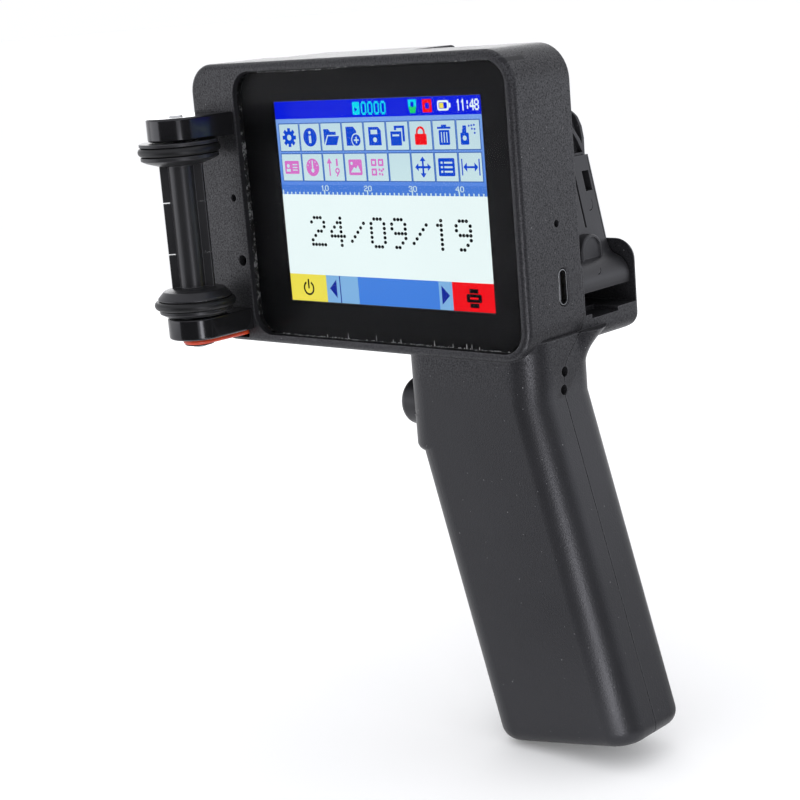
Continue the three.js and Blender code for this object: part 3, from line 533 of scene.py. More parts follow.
BELT_Z, BELT_HALF, PULLEY_R = -35.55, 0.65, 3.75
ENCODER = (-54.0, 10.0, 3.0)
PIVOT = (40.6, -21.6)
PIN_R = 1.55
USB = (11.6, -21.3)
RESET = (10.2, -5.6)
NOZZLE = Size(y0=26.0, y1=39.0, z0=-18.0, z1=4.0)
FAR = 200.0

# ---- housing shapes


def grip_sweep(shrink, end, stations, x0=GRIP.x0, x1=GRIP.x1, lean=LEAN, shear=BASE_SHEAR,
               n=10):
    """Rounded section carried down the grip; each station is (along, grow, flare)."""
    outline = rounded_rect(x0 + shrink, GRIP.y0 + shrink, x1 - shrink, GRIP.y1 - shrink,
                           GRIP_R - shrink, n)
    core_x = (x0 + GRIP_R, x1 - GRIP_R)
    core_y = (GRIP.y0 + GRIP_R, GRIP.y1 - GRIP_R)
    middle = (x0 + x1) / 2
    turn = Matrix.Rotation(-lean, 4, "Y")
    rings = []
    for along, grow, flare in stations:
        share = min(max((along - GRIP_TOP) / (end - GRIP_TOP), 0), 1)
        ring = []
        for w, y in outline:
            out = Vector((w - min(max(w, core_x[0]), core_x[1]),
                          y - min(max(y, core_y[0]), core_y[1]))).normalized()
            push = grow + flare * max(0.0, out.y)
            w2, y2 = w + out.x * push, y + out.y * push
            ring.append(turn @ Vector((w2, y2, -(along + share * shear * (w2 - middle)))))
        rings.append(ring)
    return loft(rings)


def grip_stations(end, base_round, flare, start=33.5, n=12):
    stations = [(GRIP_TOP, 0.0, flare)]
    if flare:
        for i in range(n + 1):
            down = sin(pi / 2 * i / n)
            stations.append((start + flare * down, 0.0, flare * (1 - down) ** 1.5))
    for i in range(9):
        a = pi / 2 * i / 8
        stations.append((end - base_round + base_round * sin(a),
                         -base_round * (1 - cos(a)), 0.0))
    return stations


def head_outline(by=0.0, n=12):
    return rounded_rect(HEAD.x0 + by, HEAD.z0 + by, HEAD.x1 - by, HEAD.z1 - by,
                        [r - by for r in HEAD_RADII], n)


def head_solid():
    return prism(head_outline(), "y", HEAD.y0, HEAD.y1, HEAD_EDGE, 0, 6)


def grip_solid():
    """The leaning grip under its upright neck, which flares back under the bay."""
    strap = grip_sweep(0, -STRAP_BOTTOM, grip_stations(-STRAP_BOTTOM, 2, 8), STRAP_X, NECK_RIGHT,
                       0, 0)
    swept = combined(grip_sweep(0, GRIP_END, grip_stations(GRIP_END, BASE_ROUND, 0)),
                     cuts=[block(-FAR, STRAP_X + GRIP_R + 2, -FAR, FAR, -54, FAR)])
    return combined(swept, joins=[strap], cuts=[block(-FAR, FAR, -FAR, FAR, -33.5, FAR)])


def grip_hollow(shrink=GRIP_WALL, end=GRIP_END - 3):
    swept = combined(grip_sweep(shrink, end, grip_stations(end, 1.5, 0)),
                     cuts=[block(-FAR, STRAP_X + GRIP_R + 2, -FAR, FAR, -56, FAR),
                           block(-FAR, FAR, -FAR, FAR, -40.5, FAR)])
    strap = prism(rounded_rect(STRAP_X + shrink, GRIP.y0 + shrink, 40, GRIP.y1 - shrink,
                               GRIP_R - shrink), "z", -63.6 + shrink, -40.5)
    return combined(swept, joins=[strap])


def behind_seam(shift):
    """Everything behind the parting surface of the two shells."""
    outline = [(SEAM_Y + shift, -FAR), (FAR, -FAR), (FAR, FAR), (HEAD.y1 + shift, FAR),
               (HEAD.y1 + shift, -27)]
    outline += bezier((HEAD.y1 + shift, -27), (HEAD.y1 + shift, -37),
                      (SEAM_Y + shift, -36), (SEAM_Y + shift, -44), 20)
    return prism(outline, "x", -FAR, FAR)


def lanyard_holes():
    return [bar("x", y, z, 1.3, 38, 60, 24) for y, z in ((10.3, -42), (9.6, -46.4))]


def trigger_bore():
    return bar("x", TRIGGER.y, TRIGGER.z, TRIGGER.r + GAP, -20, 10, 48)


HEAD_SCREWS = [(-55, 28), (-55, -18), (42.3, 30.4), (42.3, 3.5)]
GRIP_SCREWS = [(33, -48), (37, -60)]


def front_shell():
    hollow = prism(head_outline(WALL), "y", 2.2, FAR)
    left_strip = prism(rounded_rect(HEAD.x0 + WALL, HEAD.z0 + WALL, -49.6, HEAD.z1 - WALL,
                                    [5.3, 0.5, 0.5, 5.3]), "y", HEAD.y0 + WALL, 5)
    belt_slot = prism(rounded_rect(-59.6, -37, -50.1, -34, 0.8), "y", -10, 15)
    usb_mouth = prism(rounded_rect(USB[0] - 2, USB[1] - 4.65, USB[0] + 2, USB[1] + 4.65, 1.9),
                      "x", 40, 60)
    usb_dish = prism(rounded_rect(USB[0] - 2.25, USB[1] - 4.9, USB[0] + 2.25, USB[1] + 4.9, 2.15),
                     "x", HEAD.x1 - 0.35, 60, 0.3, 0, 3)
    return combined(
        combined(head_solid(), joins=[grip_solid()]),
        cuts=[behind_seam(-SEAM / 2), hollow, left_strip, grip_hollow(),
              prism(rounded_rect(*RECESS, RECESS_R, 14), "y", -10, 0.2),
              prism(rounded_rect(-41, -33, 41, 31, 2), "y", -1, 3),
              bar("y", -51, 1.3, 1.0, -10, 5), bar("y", -49.9, -15.7, 1.5, -10, 5),
              bar("x", *RESET, 0.95, 40, 60), usb_mouth, usb_dish,
              belt_slot, trigger_bore(), *lanyard_holes()])


def bay_outline():
    r = HEAD_RADII[0]
    pts = [(BAY.x0 + r, BAY.z0)]
    pts += arc(BAY.x1 - 4, BAY.z0 + 4, 4, -90, 0, 8)
    pts += arc(BAY.x1 - 5.5, CHEEK_TOP - 5.5, 5.5, 0, 90, 12)
    pts += [(35, CHEEK_TOP)]
    pts += bezier((35, CHEEK_TOP), (26, CHEEK_TOP), (26, 12), (18, 24), 20)
    pts += bezier((18, 24), (13, 31), (13, BAY.z1), (5, BAY.z1), 12)
    pts += arc(BAY.x0 + r, BAY.z1 - r, r, 90, 180, 12)
    pts += arc(BAY.x0 + r, BAY.z0 + r, r, 180, 270, 12)
    return pts[:-1]


def rear_shell():
    rounded_base = prism(rounded_rect(-FAR, BAY.z0, BAY.y1, FAR, [0.1, 5.5, 0.1, 0.1], 10),
                         "x", -FAR, FAR)
    housing = combined(prism(bay_outline(), "y", BAY.y0 - 2.5, BAY.y1, 2.5, 2.5, 6),
                       keeps=[rounded_base],
                       cuts=[block(-FAR, FAR, -FAR, BAY.y0, -FAR, FAR),
                             block(BAY_STEP[0], FAR, -FAR, FAR, BAY_STEP[1], FAR)])
    lid = prism(head_outline(WALL + GAP), "y", 17.2, BAY.y0 + 0.05)
    lower = combined(combined(head_solid(), joins=[grip_solid()]), keeps=[behind_seam(SEAM / 2)])
    lower = combined(lower, cuts=[grip_hollow(), prism(head_outline(WALL), "y", 2.2, 17.2)])
    bosses = [bar("y", x, z, 3, SEAM_Y + 0.5, GRIP.y1 - 1, 32) for x, z in GRIP_SCREWS]
    hollow = prism(rounded_rect(-60.8, -30.3, 120, 34.6, [4.5, 0.5, 0.5, 4.5]), "y", 21.6, 43.5)
    recesses = [bar("y", x, z, 2.9, GRIP.y1 - 3.2, 60, 32) for x, z in GRIP_SCREWS]
    bores = [bar("y", x, z, 1.5, 0, 40, 24) for x, z in GRIP_SCREWS]
    bores += [bar("y", x, z, 1.35, 10, 22, 24) for x, z in HEAD_SCREWS]
    window = block(-80, -55, NOZZLE.y0, NOZZLE.y1, NOZZLE.z0, NOZZLE.z1)
    body = combined(lower, joins=[lid])
    body = combined(body, joins=[housing])
    return combined(
        body, joins=bosses,
        cuts=[hollow, trigger_bore(), *lanyard_holes(), *recesses, *bores, window,
              bar("y", *PIVOT, PIN_R + 0.15, 20.2, 60), bar("y", *PIVOT, 2.6, 44.4, 60),
              block(38, 60, 24.3, 35.5, -31.4, -28),
              *[bar("x", 24.2, z, 1.1, -80, -58, 24) for z in (8, -22)]])


def grip_tongue():
    """Rib inside the wall that closes the grip's parting line to light."""
    line = block(-FAR, FAR, SEAM_Y - SEAM / 2, SEAM_Y + SEAM / 2, -FAR, -44)
    return combined(grip_hollow(1.2, GRIP_END - 1.2), keeps=[line],
                    cuts=[grip_hollow(), trigger_bore(), *lanyard_holes()])


piece("shell_tongue", grip_tongue(), HOUSING)
piece("shell_front", front_shell(), HOUSING, ["front_shell"])
piece("shell_rear", rear_shell(), HOUSING, ["rear_shell"])

# ---- screen


def glass_and_print():
    x0, z0, x1, z1 = RECESS
    outline = rounded_rect(x0 + GAP, z0 + GAP, x1 - GAP, z1 - GAP, RECESS_R - GAP, 16)
    piece("cover_glass", prism(outline, "y", -1.6, -0.1, 0.2, 0.1, 4), GLASS,
          ["touch_glass"])
    window = rounded_rect(-35.25, -26.5, 35.25, 26.5, 0.3, 3)
    mask = combined(prism(inset(outline, 0.05), "y", -0.06, 0.0), cuts=[prism(window, "y", -2, 2)])
    piece("glass_print", mask, PRINT_BLACK)
    seal = combined(prism(inset(outline, -0.24), "y", -1.45, 0.1, 0.1, 0, 3),
                    cuts=[prism(inset(outline, -0.03), "y", -3, 3)])
    piece("glass_seal", seal, SEAL_BLACK)


def adhesive_flakes():
    """Dried adhesive along the bottom and top of the glass: thin chips and a few hanging spikes."""
    rng = np.random.default_rng(7)
    x0, z0, x1, z1 = RECESS
    chips = []
    for i in range(120):
        low = i < 90
        x = rng.uniform(x0 + 9, x1 - 5) if low else rng.uniform(x0 + 8, x0 + 40)
        edge = z0 + GAP + 0.05 if low else z1 - GAP - 0.05
        long, tall = rng.uniform(0.15, 0.75), rng.uniform(0.06, 0.22)
        if rng.uniform() < 0.12:
            long, tall = 0.2, rng.uniform(0.7, 1.6)
        inward = 1 if low else -1
        start, end = edge, edge + inward * tall
        shape = [(x - long / 2, start), (x + long / 2, start), (x + long * 0.3, end),
                 (x - long * 0.1, end + inward * 0.05)]
        chips.append(prism(shape if low else shape[::-1], "y", -1.68, -1.61))
    piece("adhesive_flakes", merged(*chips), FLAKE)


glass_and_print()
adhesive_flakes()
PANEL_Y = 0.25
piece("display_panel", combined(
    prism(rounded_rect(-38.5, -32.5, 38.5, 29.9, 0.8), "y", PANEL_Y, 3.45, 0.15, 0.15, 2),
    joins=[prism(rounded_rect(-8, -32.2, 8, -31, 0.4), "y", 2.6, 3.4)]),
    moulded("panel_frame", (0.02, 0.02, 0.022), (0.03, 0.03, 0.032), 0.4, 0.5, 0.02),
    ["lcd_module"])

LAYER = 0.04
painted = {}


def paint(colour, layer, *outlines, at=(0, 0)):
    """Lay flat areas of the picture, gathered by colour and stacked in thin layers."""
    high = PANEL_Y - LAYER * layer
    for outline in outlines:
        points = [(u + at[0], w + at[1]) for u, w in outline]
        painted.setdefault(colour, []).append(prism(points, "y", high - LAYER, high))


def rect(x0, z0, x1, z1, r=0.0):
    return rounded_rect(x0, z0, x1, z1, r, 4) if r else [(x0, z0), (x1, z0), (x1, z1), (x0, z1)]


def tile(x, z, half_x, half_z, r=0.0):
    return rect(x - half_x, z - half_z, x + half_x, z + half_z, r)


def disc(x, z, r, n=28):
    return circle(x, z, r, n)


def band(x, z, r, width, start, end, n):
    """Part of a ring, as one strip."""
    return arc(x, z, r + width / 2, start, end, n) + arc(x, z, r - width / 2, end, start, n)


def line(x0, z0, x1, z1, width):
    d = Vector((x1 - x0, z1 - z0)).normalized() * width / 2
    return [(x0 - d.y, z0 + d.x), (x0 + d.y, z0 - d.x), (x1 + d.y, z1 - d.x), (x1 - d.y, z1 + d.x)]


DIGITS = {
    "0": "01110 10001 10001 10001 10001 10001 01110",
    "1": "00100 01100 00100 00100 00100 00100 00100",
    "2": "01110 10001 00001 00110 01000 10000 11111",
    "3": "01110 10001 00001 00110 00001 10001 01110",
    "4": "00010 00110 01010 10010 11111 00010 00010",
    "8": "01110 10001 10001 01110 10001 10001 01110",
    "9": "01110 10001 10001 01111 00001 00010 01100",
    "/": "00000 00001 00010 00100 01000 10000 00000",
    ":": "00000 00100 00100 00000 00100 00100 00000",
}


def figures(text, left, top, pitch_x, pitch_z, advance, dot):
    """The outline of a dot at each mark of a line of plain figures."""
    return [[(u + left + index * advance + column * pitch_x, w + top - row * pitch_z)
             for u, w in dot]
            for index, figure in enumerate(text)
            for row, marks in enumerate(DIGITS[figure].split())
            for column, mark in enumerate(marks) if mark == "1"]


SIDE, BOTTOM, BUTTON_TOP = 35.04, -26.28, -19.1
paint("status_blue", 0, rect(-SIDE, 21.75, SIDE, 26.28))
paint("field_blue", 0, rect(-SIDE, 4.6, SIDE, 21.75))
paint("ruler_blue", 0, rect(-SIDE, 2.1, SIDE, 4.6))
paint("paper_white", 0, rect(-SIDE, BUTTON_TOP, SIDE, 2.1))
paint("button_yellow", 0, rect(-SIDE, BOTTOM, -21.75, BUTTON_TOP))
paint("scroll_pale", 0, rect(-21.75, BOTTOM, 21.7, BUTTON_TOP))
paint("scroll_deep", 1, rect(-10.25, BOTTOM, 17.3, BUTTON_TOP))
paint("arrow_navy", 1, rect(-16.95, BOTTOM, -16.65, BUTTON_TOP),
      [(-20.6, -22.6), (-18.1, -25.0), (-18.1, -20.2)], [(20.8, -22.6), (18.2, -20.2), (18.2, -25.0)])
paint("button_red", 0, rect(21.7, BOTTOM, SIDE, BUTTON_TOP))
# Power sign on the yellow button and a printed sheet on the red one.
paint("ink_black", 1, band(-28.4, -22.8, 1.7, 0.5, 120, 420, 24), rect(-28.65, -22.9, -28.15, -20.4),
      rect(26.2, -24.0, 31.0, -21.9, 0.4), rect(27.2, -21.7, 30.0, -20.6),
      rect(27.2, -25.3, 30.0, -24.2))
paint("button_red", 2, rect(27.3, -23.2, 29.9, -22.7))
# Status bar: counter, cartridge gauge, flag, battery and clock.
paint("cyan", 1, rect(-6.9, 22.4, -4.5, 25.6, 0.3),
      *figures("0000", -3.75, 25.35, 0.34, 0.46, 2.2, tile(0, 0, 0.21, 0.28)),
      [(12.0, 25.7), (12.0, 24.0), (14.6, 24.0), (14.6, 25.7)])
paint("green", 1, [(12.0, 24.0), (12.5, 22.4), (14.1, 22.4), (14.6, 24.0)])
paint("button_red", 1, rect(16.6, 22.5, 19.6, 25.7, 0.3))
paint("paper_white", 1, rect(21.4, 22.8, 25.0, 25.3, 0.6), rect(25.1, 23.5, 25.6, 24.6),
      *figures("11:48", 27.5, 25.2, 0.27, 0.38, 1.42, tile(0, 0, 0.17, 0.22)))
paint("status_blue", 2, [(-6.2, 23.1), (-5.2, 23.7), (-6.2, 24.3)], rect(12.8, 23.9, 13.8, 25.2, 0.3),
      rect(17.5, 23.4, 18.8, 24.8, 0.3), rect(21.9, 23.3, 24.5, 24.8, 0.3))
paint("button_yellow", 3, rect(22.1, 23.45, 23.4, 24.65))

# Two rows of nine keys with generic pictograms: tools, files and layout actions.
BLUE, PINK, RED, FACE = "icon_blue", "icon_pink", "button_red", "key_face"
STEP = [pi / 4 * i for i in range(8)]
SIGNS = {
    "gear": (0, 0, BLUE, [disc(0, 0, 1.75)] + [
        line(1.5 * cos(a), 1.5 * sin(a), 2.45 * cos(a), 2.45 * sin(a), 1.0) for a in STEP],
        [disc(0, 0, 0.75)]),
    "information": (0, 1, BLUE, [disc(0, 0, 2.4)], [disc(0, 1.2, 0.42), rect(-0.4, -1.5, 0.4, 0.4)]),
    "open folder": (0, 2, BLUE, [
        [(-2.6, -1.9), (-2.6, 2.0), (-0.9, 2.0), (-0.3, 1.3), (1.7, 1.3), (1.7, 0.5), (-1.4, 0.5)],
        [(-2.2, -2.1), (-1.1, 0.2), (2.8, 0.2), (1.8, -2.1)]], []),
    "new file": (0, 3, BLUE, [[(-2.3, -2.3), (-2.3, 2.5), (0.3, 2.5), (1.3, 1.4), (1.3, -2.3)]],
                 [disc(1.2, -0.9, 1.75)]),
    "save": (0, 4, BLUE, [[(-2.1, -2.3), (-2.1, 2.3), (1.2, 2.3), (2.1, 1.4), (2.1, -2.3)]],
             [rect(-1.3, 0.5, 0.9, 1.6), disc(0, -0.9, 0.62)]),
    "copy": (0, 5, BLUE, [
        [(-1.0, 1.4), (-1.0, 2.5), (2.4, 2.5), (2.4, -1.4), (1.7, -1.4), (1.7, 1.9), (-0.3, 1.9),
         (-0.3, 1.4)], [(-2.3, -2.4), (-2.3, 1.1), (1.3, 1.1), (1.3, -2.4)]],
        [rect(-1.6, -0.1, 0.6, 0.35)]),
    "padlock": (0, 6, RED, [rect(-1.9, -2.3, 1.9, 0.4, 0.3), band(0, 0.8, 1.15, 0.55, 0, 180, 16),
                            rect(-1.42, 0.2, -0.88, 0.8), rect(0.88, 0.2, 1.42, 0.8)], []),
    "bin": (0, 7, BLUE, [rect(-2.1, 1.5, 2.1, 2.0), rect(-0.8, 2.0, 0.8, 2.5),
                         rect(-1.7, -2.4, 1.7, 1.2, 0.3)],
            [tile(x, -0.55, 0.13, 1.25) for x in (-0.85, 0, 0.85)]),
    "spray can": (0, 8, BLUE, [
        rect(-2.5, -2.4, 0.1, 0.5, 0.3), rect(-1.9, 0.5, -0.6, 1.3), rect(-1.7, 1.3, -0.6, 2.2),
        *[disc(x, z, 0.26, 12) for x, z in ((0.3, 2.1), (1.1, 2.2), (1.9, 2.3), (1.2, 1.4), (2.0, 1.3),
                                            (2.0, 0.4))]], [disc(-1.2, -0.8, 0.6)]),
    "card": (1, 0, PINK, [rect(-2.6, -1.7, 2.6, 1.7, 0.3)],
             [disc(-1.3, 0.4, 0.5), rect(-2.0, -1.1, -0.6, -0.4)]
             + [tile(1.15, z, 0.85, 0.14) for z in (0.7, 0.0, -0.7)]),
    "clock": (1, 1, PINK, [disc(0, 0, 2.3)], [rect(-0.2, -0.6, 0.2, 1.6), disc(0, -0.8, 0.55)] + [
        disc(1.7 * cos(pi * (0.1 + 0.2 * i)), 1.7 * sin(pi * (0.1 + 0.2 * i)), 0.17, 10)
        for i in range(5)]),
    "counting up": (1, 2, PINK, [
        rect(-1.7, -2.2, -1.3, 1.4), [(-2.4, 1.0), (-0.6, 1.0), (-1.5, 2.4)],
        rect(0.9, 0.3, 1.5, 2.2), line(1.7, -1.2, 0.9, -2.3, 0.4),
        *[band(1.2, -0.9, 0.6, 0.4, 22.5 * i, 22.5 * (i + 1), 1) for i in range(16)]], []),
    "picture": (1, 3, PINK, [rect(-2.3, -2.0, 2.3, 2.0, 0.4)],
                [[(-1.7, -1.3), (-0.4, 0.1), (0.2, -0.4), (0.9, 0.5), (1.8, -1.3)],
                 disc(-1.2, 1.0, 0.4)]),
    "square code": (1, 4, PINK, [
        *[tile(x, z, 0.9, 0.9, 0.2) for x, z in ((-1.2, 1.2), (1.2, 1.2), (-1.2, -1.2))],
        *[tile(x, z, 0.28, 0.28) for x, z in ((0.6, -0.6), (1.3, -0.9), (1.9, -0.5), (0.6, -1.7),
                                              (1.5, -1.8))]],
        [tile(x, z, 0.4, 0.4) for x, z in ((-1.2, 1.2), (1.2, 1.2), (-1.2, -1.2))]),
    "move": (1, 6, BLUE, [tile(0, 0, 1.9, 0.28), tile(0, 0, 0.28, 1.9)] + [
        [(2.6 * x, 2.6 * z), (1.5 * x - 0.95 * z, 1.5 * z + 0.95 * x),
         (1.5 * x + 0.95 * z, 1.5 * z - 0.95 * x)] for x, z in ((1, 0), (-1, 0), (0, 1), (0, -1))], []),
    "list": (1, 7, BLUE, [rect(-2.6, -2.2, 2.6, 2.2, 0.4)],
             [tile(-1.5, z, 0.3, 0.25) for z in (1.1, 0.0, -1.1)]
             + [tile(0.6, z, 1.3, 0.22) for z in (1.1, 0.0, -1.1)]),
    "width": (1, 8, BLUE, [tile(0, 0, 1.4, 0.25)] + [tile(x, 0, 0.17, 2.0) for x in (-2.7, 2.7)] + [
        [(2.3 * side, 0), (1.2 * side, 1.1), (1.2 * side, -1.1)] for side in (-1, 1)], []),
}
KEY_LEFT, KEY_WIDE, KEY_PITCH, KEY_HIGH = -33.9, 6.95, 7.63, ((13.5, 20.4), (5.75, 12.6))


def key_centre(row, column):
    return KEY_LEFT + column * KEY_PITCH + KEY_WIDE / 2, sum(KEY_HIGH[row]) / 2


for row, (low, high) in enumerate(KEY_HIGH):
    for column in range(9):
        x, z = key_centre(row, column)
        half = (KEY_WIDE / 2, (high - low) / 2)
        paint("key_edge", 1, tile(x, z, half[0] + 0.25, half[1] + 0.25))
        paint(FACE, 2, tile(x, z, *half))
for row, column, colour, marks, clear in SIGNS.values():
    paint(colour, 3, *marks, at=key_centre(row, column))
    paint(FACE, 4, *clear, at=key_centre(row, column))
paint(BLUE, 4.5, disc(1.2, -0.9, 1.45), at=key_centre(0, 3))
paint(FACE, 5, tile(1.2, -0.9, 0.8, 0.2), tile(1.2, -0.9, 0.2, 0.8), at=key_centre(0, 3))

# Ruler, and the date code in round dots.
for i in range(46):
    tall = 1.2 if i % 10 == 0 else 0.65
    paint(FACE, 1, rect(i * 1.523 - 34.8, 2.1, i * 1.523 - 34.4, 2.1 + tall))
for i, text in enumerate(("10", "20", "30", "40")):
    paint(FACE, 1, *figures(text, -20.4 + 15.25 * i, 4.4, 0.24, 0.2, 1.45, tile(0, 0, 0.13, 0.11)))
paint("ink_black", 1, *figures("24/09/19", -25.2, -3.95, 1.12, 1.18, 7.1,
                               [(u, v * 0.86) for u, v in circle(0, 0, 0.52, 16)]))

# Colour of each area; two of them change from a lower colour between two heights.
LOOKS = {
    "status_blue": ["0a1fe2"], "field_blue": ["7da7ee", 4.6, 21.75, "5c8ce6"],
    "ruler_blue": ["4b7fdd"], "paper_white": ["f1ffff"], "button_yellow": ["f3e455"],
    "button_red": ["f7101c"], "scroll_pale": ["83b6e6"], "scroll_deep": ["4684e4"],
    "arrow_navy": ["182c9c"], "ink_black": ["0b0d12"], "cyan": ["08def4"], "green": ["19d86f"],
    "key_edge": ["3b69b8"], "key_face": ["c3dfe9", 5.7, 20.4, "cfe9ee"], "icon_blue": ["1049d2"],
    "icon_pink": ["da74cc"],
}
for colour, parts in painted.items():
    piece("picture_" + colour, merged(*parts), lit("lit_" + colour, *LOOKS[colour]))

# ---- roller arms and roller


def arm(name, node, low, high, bearing_low, bearing_high):
    x, y = ROLLER
    outline = [(x + 8, HEAD.y0 - 0.05), (x - 8, HEAD.y0 - 0.05)]
    outline += arc(x, y, 8, 180, 360, 40)
    z = (low + high) / 2
    body = combined(
        prism(outline, "z", low, high, 0.6, 0.6, 5),
        cuts=[bar("z", x, y, 4.3, bearing_low, bearing_high, 48),
              bar("z", x, y, 2.5, low - 5, high + 5, 48),
              *[bar("y", sx, z, 1.3, -12, 0, 24) for sx in (-58, -52.5)]])
    piece(name, body, GLOSSY, [node])


arm("arm_top", "upper_arm", *UPPER_ARM, UPPER_ARM[0] - 5, UPPER_ARM[0] + 3.8)
arm("arm_bottom", "lower_arm", *LOWER_ARM, LOWER_ARM[1] - 3.8, LOWER_ARM[1] + 5)


def bearing(name, node, low, high):
    """Ball bearing: two races with a recessed shield between them."""
    profile = [(2.3, low), (3.0, low), (3.05, low + 0.25), (3.45, low + 0.25), (3.5, low), (4.0, low),
               (4.0, high), (3.5, high), (3.45, high - 0.25), (3.05, high - 0.25), (3.0, high),
               (2.3, high)]
    rings = [[(ROLLER[0] + r * cos(2 * pi * i / 64), ROLLER[1]
               + r * sin(2 * pi * i / 64), z) for r, z in profile] for i in range(64)]
    piece(name, loft(rings, loop=True), STEEL, [node])


bearing("bearing_top", "upper_bearing", UPPER_ARM[0], UPPER_ARM[0] + 3.5)
bearing("bearing_bottom", "lower_bearing", LOWER_ARM[1] - 3.5, LOWER_ARM[1])

CORE = Size(top=18.1, bottom=-28.2, neck_top=11.9, neck_bottom=-20.9, tube=3.5)
FIN_R, FIN_HALF, FIN_TURN = 5.8, 0.8, 37.0


def roller_core():
    upper, lower = TYRE_Z
    floor, half = TYRE_R - 2 * TYRE_SECTION - 0.05, TYRE_SECTION + 0.1
    profile = softened([
        (0, CORE.bottom), (8.2, CORE.bottom), (9.8, CORE.bottom + 0.9), (9.8, lower - half),
        (floor, lower - half), (floor, lower + half), (9.9, lower + half),
        (9.9, lower + half + 0.5), (8.2, CORE.neck_bottom - 0.6), (FIN_R, CORE.neck_bottom),
        (CORE.tube, CORE.neck_bottom + 0.1), (CORE.tube, CORE.neck_top - 0.1),
        (FIN_R, CORE.neck_top), (9, CORE.neck_top + 1), (10.4, CORE.neck_top + 1.7),
        (10.4, upper - half), (floor, upper - half), (floor, upper + half),
        (10.5, upper + half), (10.5, CORE.top), (0, CORE.top)], 0.22)
    core = turned(profile, *ROLLER, 72)
    for half in range(2):
        # A fin is a plate with a rounded outer edge, nicked where the mould was gated.
        outline = rounded_rect(0, -FIN_HALF, FIN_R, FIN_HALF, [0.05, 0.3, 0.3, 0.05], 3)
        fin = prism(outline, "z", CORE.neck_bottom - 0.2, CORE.neck_top + 0.2)
        turn = (Matrix.Translation((*ROLLER, 0))
                @ Matrix.Rotation(radians(FIN_TURN) + half * pi, 4, "Z"))
        nick = 0.15 if half else 0.06
        nicks = [block(CORE.tube + 0.35, 9, -2, 2, z - nick, z + nick) for z in (2.0, -11.8)]
        core = combined(core, joins=[moved(combined(fin, cuts=nicks), turn)])
    return combined(core, cuts=[bar("z", *ROLLER, 2.3, -60, 60, 48)])


piece("roller_body", roller_core(), SATIN,  ["roller_core"], "roller")
for tyre_name, node_name, height in (("tyre_top", "upper_tyre", TYRE_Z[0]),
                                     ("tyre_bottom", "lower_tyre", TYRE_Z[1])):
    piece(tyre_name, torus(*ROLLER, height, TYRE_R - TYRE_SECTION, TYRE_SECTION), RUBBER,
           [node_name], "roller")
piece("shaft_rod", turned(softened([(0, -37.2), (1.7, -37.2), (2.0, -36.9), (2.0, 24.5),
                                    (1.6, 24.9), (0, 24.9)], 0.15), *ROLLER, 48),
      STEEL,  ["roller_shaft"], "roller")


def pulley(centre, belt_r, bore, z0):
    rim, root = belt_r + 0.25, belt_r - BELT_HALF - 0.1
    profile = [(0, -0.95), (rim - 0.15, -0.95), (rim, -0.85), (rim, -0.75)]
    profile += [(belt_r + 0.2 - (belt_r + 0.2 - root) * cos(radians(a)),
                 0.72 * sin(radians(a))) for a in range(-80, 81, 20)]
    profile += [(rim, 0.75), (rim, 0.85), (rim - 0.15, 0.95), (0, 0.95)]
    wheel = turned([(r, z + z0) for r, z in profile], *centre, 56)
    return combined(wheel, cuts=[bar("z", *centre, bore, z0 - 5, z0 + 5, 40)])


piece("pulley_drive", pulley(ROLLER, PULLEY_R, 2.05, BELT_Z), SATIN,
      ["drive_pulley"], "roller")
piece("pulley_encoder", pulley(ENCODER[:2], ENCODER[2], 1.05, BELT_Z), SATIN, 
      ["encoder_pulley"], "encoder")


def drive_belt():
    """Round belt run open round both pulleys."""
    (x1, y1), (x2, y2, r2), r1 = ROLLER, ENCODER, PULLEY_R
    across = degrees(atan2(y2 - y1, x2 - x1))
    tangent = degrees(acos((r1 - r2) / hypot(x2 - x1, y2 - y1)))
    first = arc(x1, y1, r1, across + tangent, across - tangent + 360, 36)
    second = arc(x2, y2, r2, across - tangent, across + tangent, 30)
    points = []
    for run, start in ((first, second[-1]), (second, first[-1])):
        for i in range(1, 24):
            t = i / 24
            points.append((start[0] + (run[0][0] - start[0]) * t,
                           start[1] + (run[0][1] - start[1]) * t, BELT_Z))
        points += [(x, y, BELT_Z) for x, y in run]
    return tube(points, BELT_HALF, 14, loop=True)


piece("belt_red", drive_belt(), RED_BELT, ["drive_belt"])

# ---- trigger


def trigger_cap():
    tip, back, r = -4.2, 7.9, TRIGGER.r
    profile = [(0, back - 6.8), (3.2, back - 6.8), (3.2, back), (r, back), (r, tip + 3.4)]
    profile += [(r * cos(radians(a)) ** 0.9, tip + 3.4 - 3.4 * sin(radians(a)))
                for a in range(8, 89, 8)]
    profile += [(0, tip)]
    shell = moved(turned(profile, 0, 0, 72),
                  Matrix.Translation((0, TRIGGER.y, TRIGGER.z))
                  @ Matrix.Rotation(radians(90), 4, "Y"))
    collar = combined(
        bar("x", TRIGGER.y, TRIGGER.z, r + 1, back - 1.6, back, 64),
        cuts=[block(0, 20, TRIGGER.y + 5.8, 40, -80, -20),
              block(0, 20, -20, TRIGGER.y - 5.8, -80, -20),
              bar("x", TRIGGER.y, TRIGGER.z, 5.0, 0, 20, 48)])
    return combined(shell, joins=[collar])


piece("trigger_cap", trigger_cap(), SATIN,  ["trigger_button"], "trigger")

# ---- latch


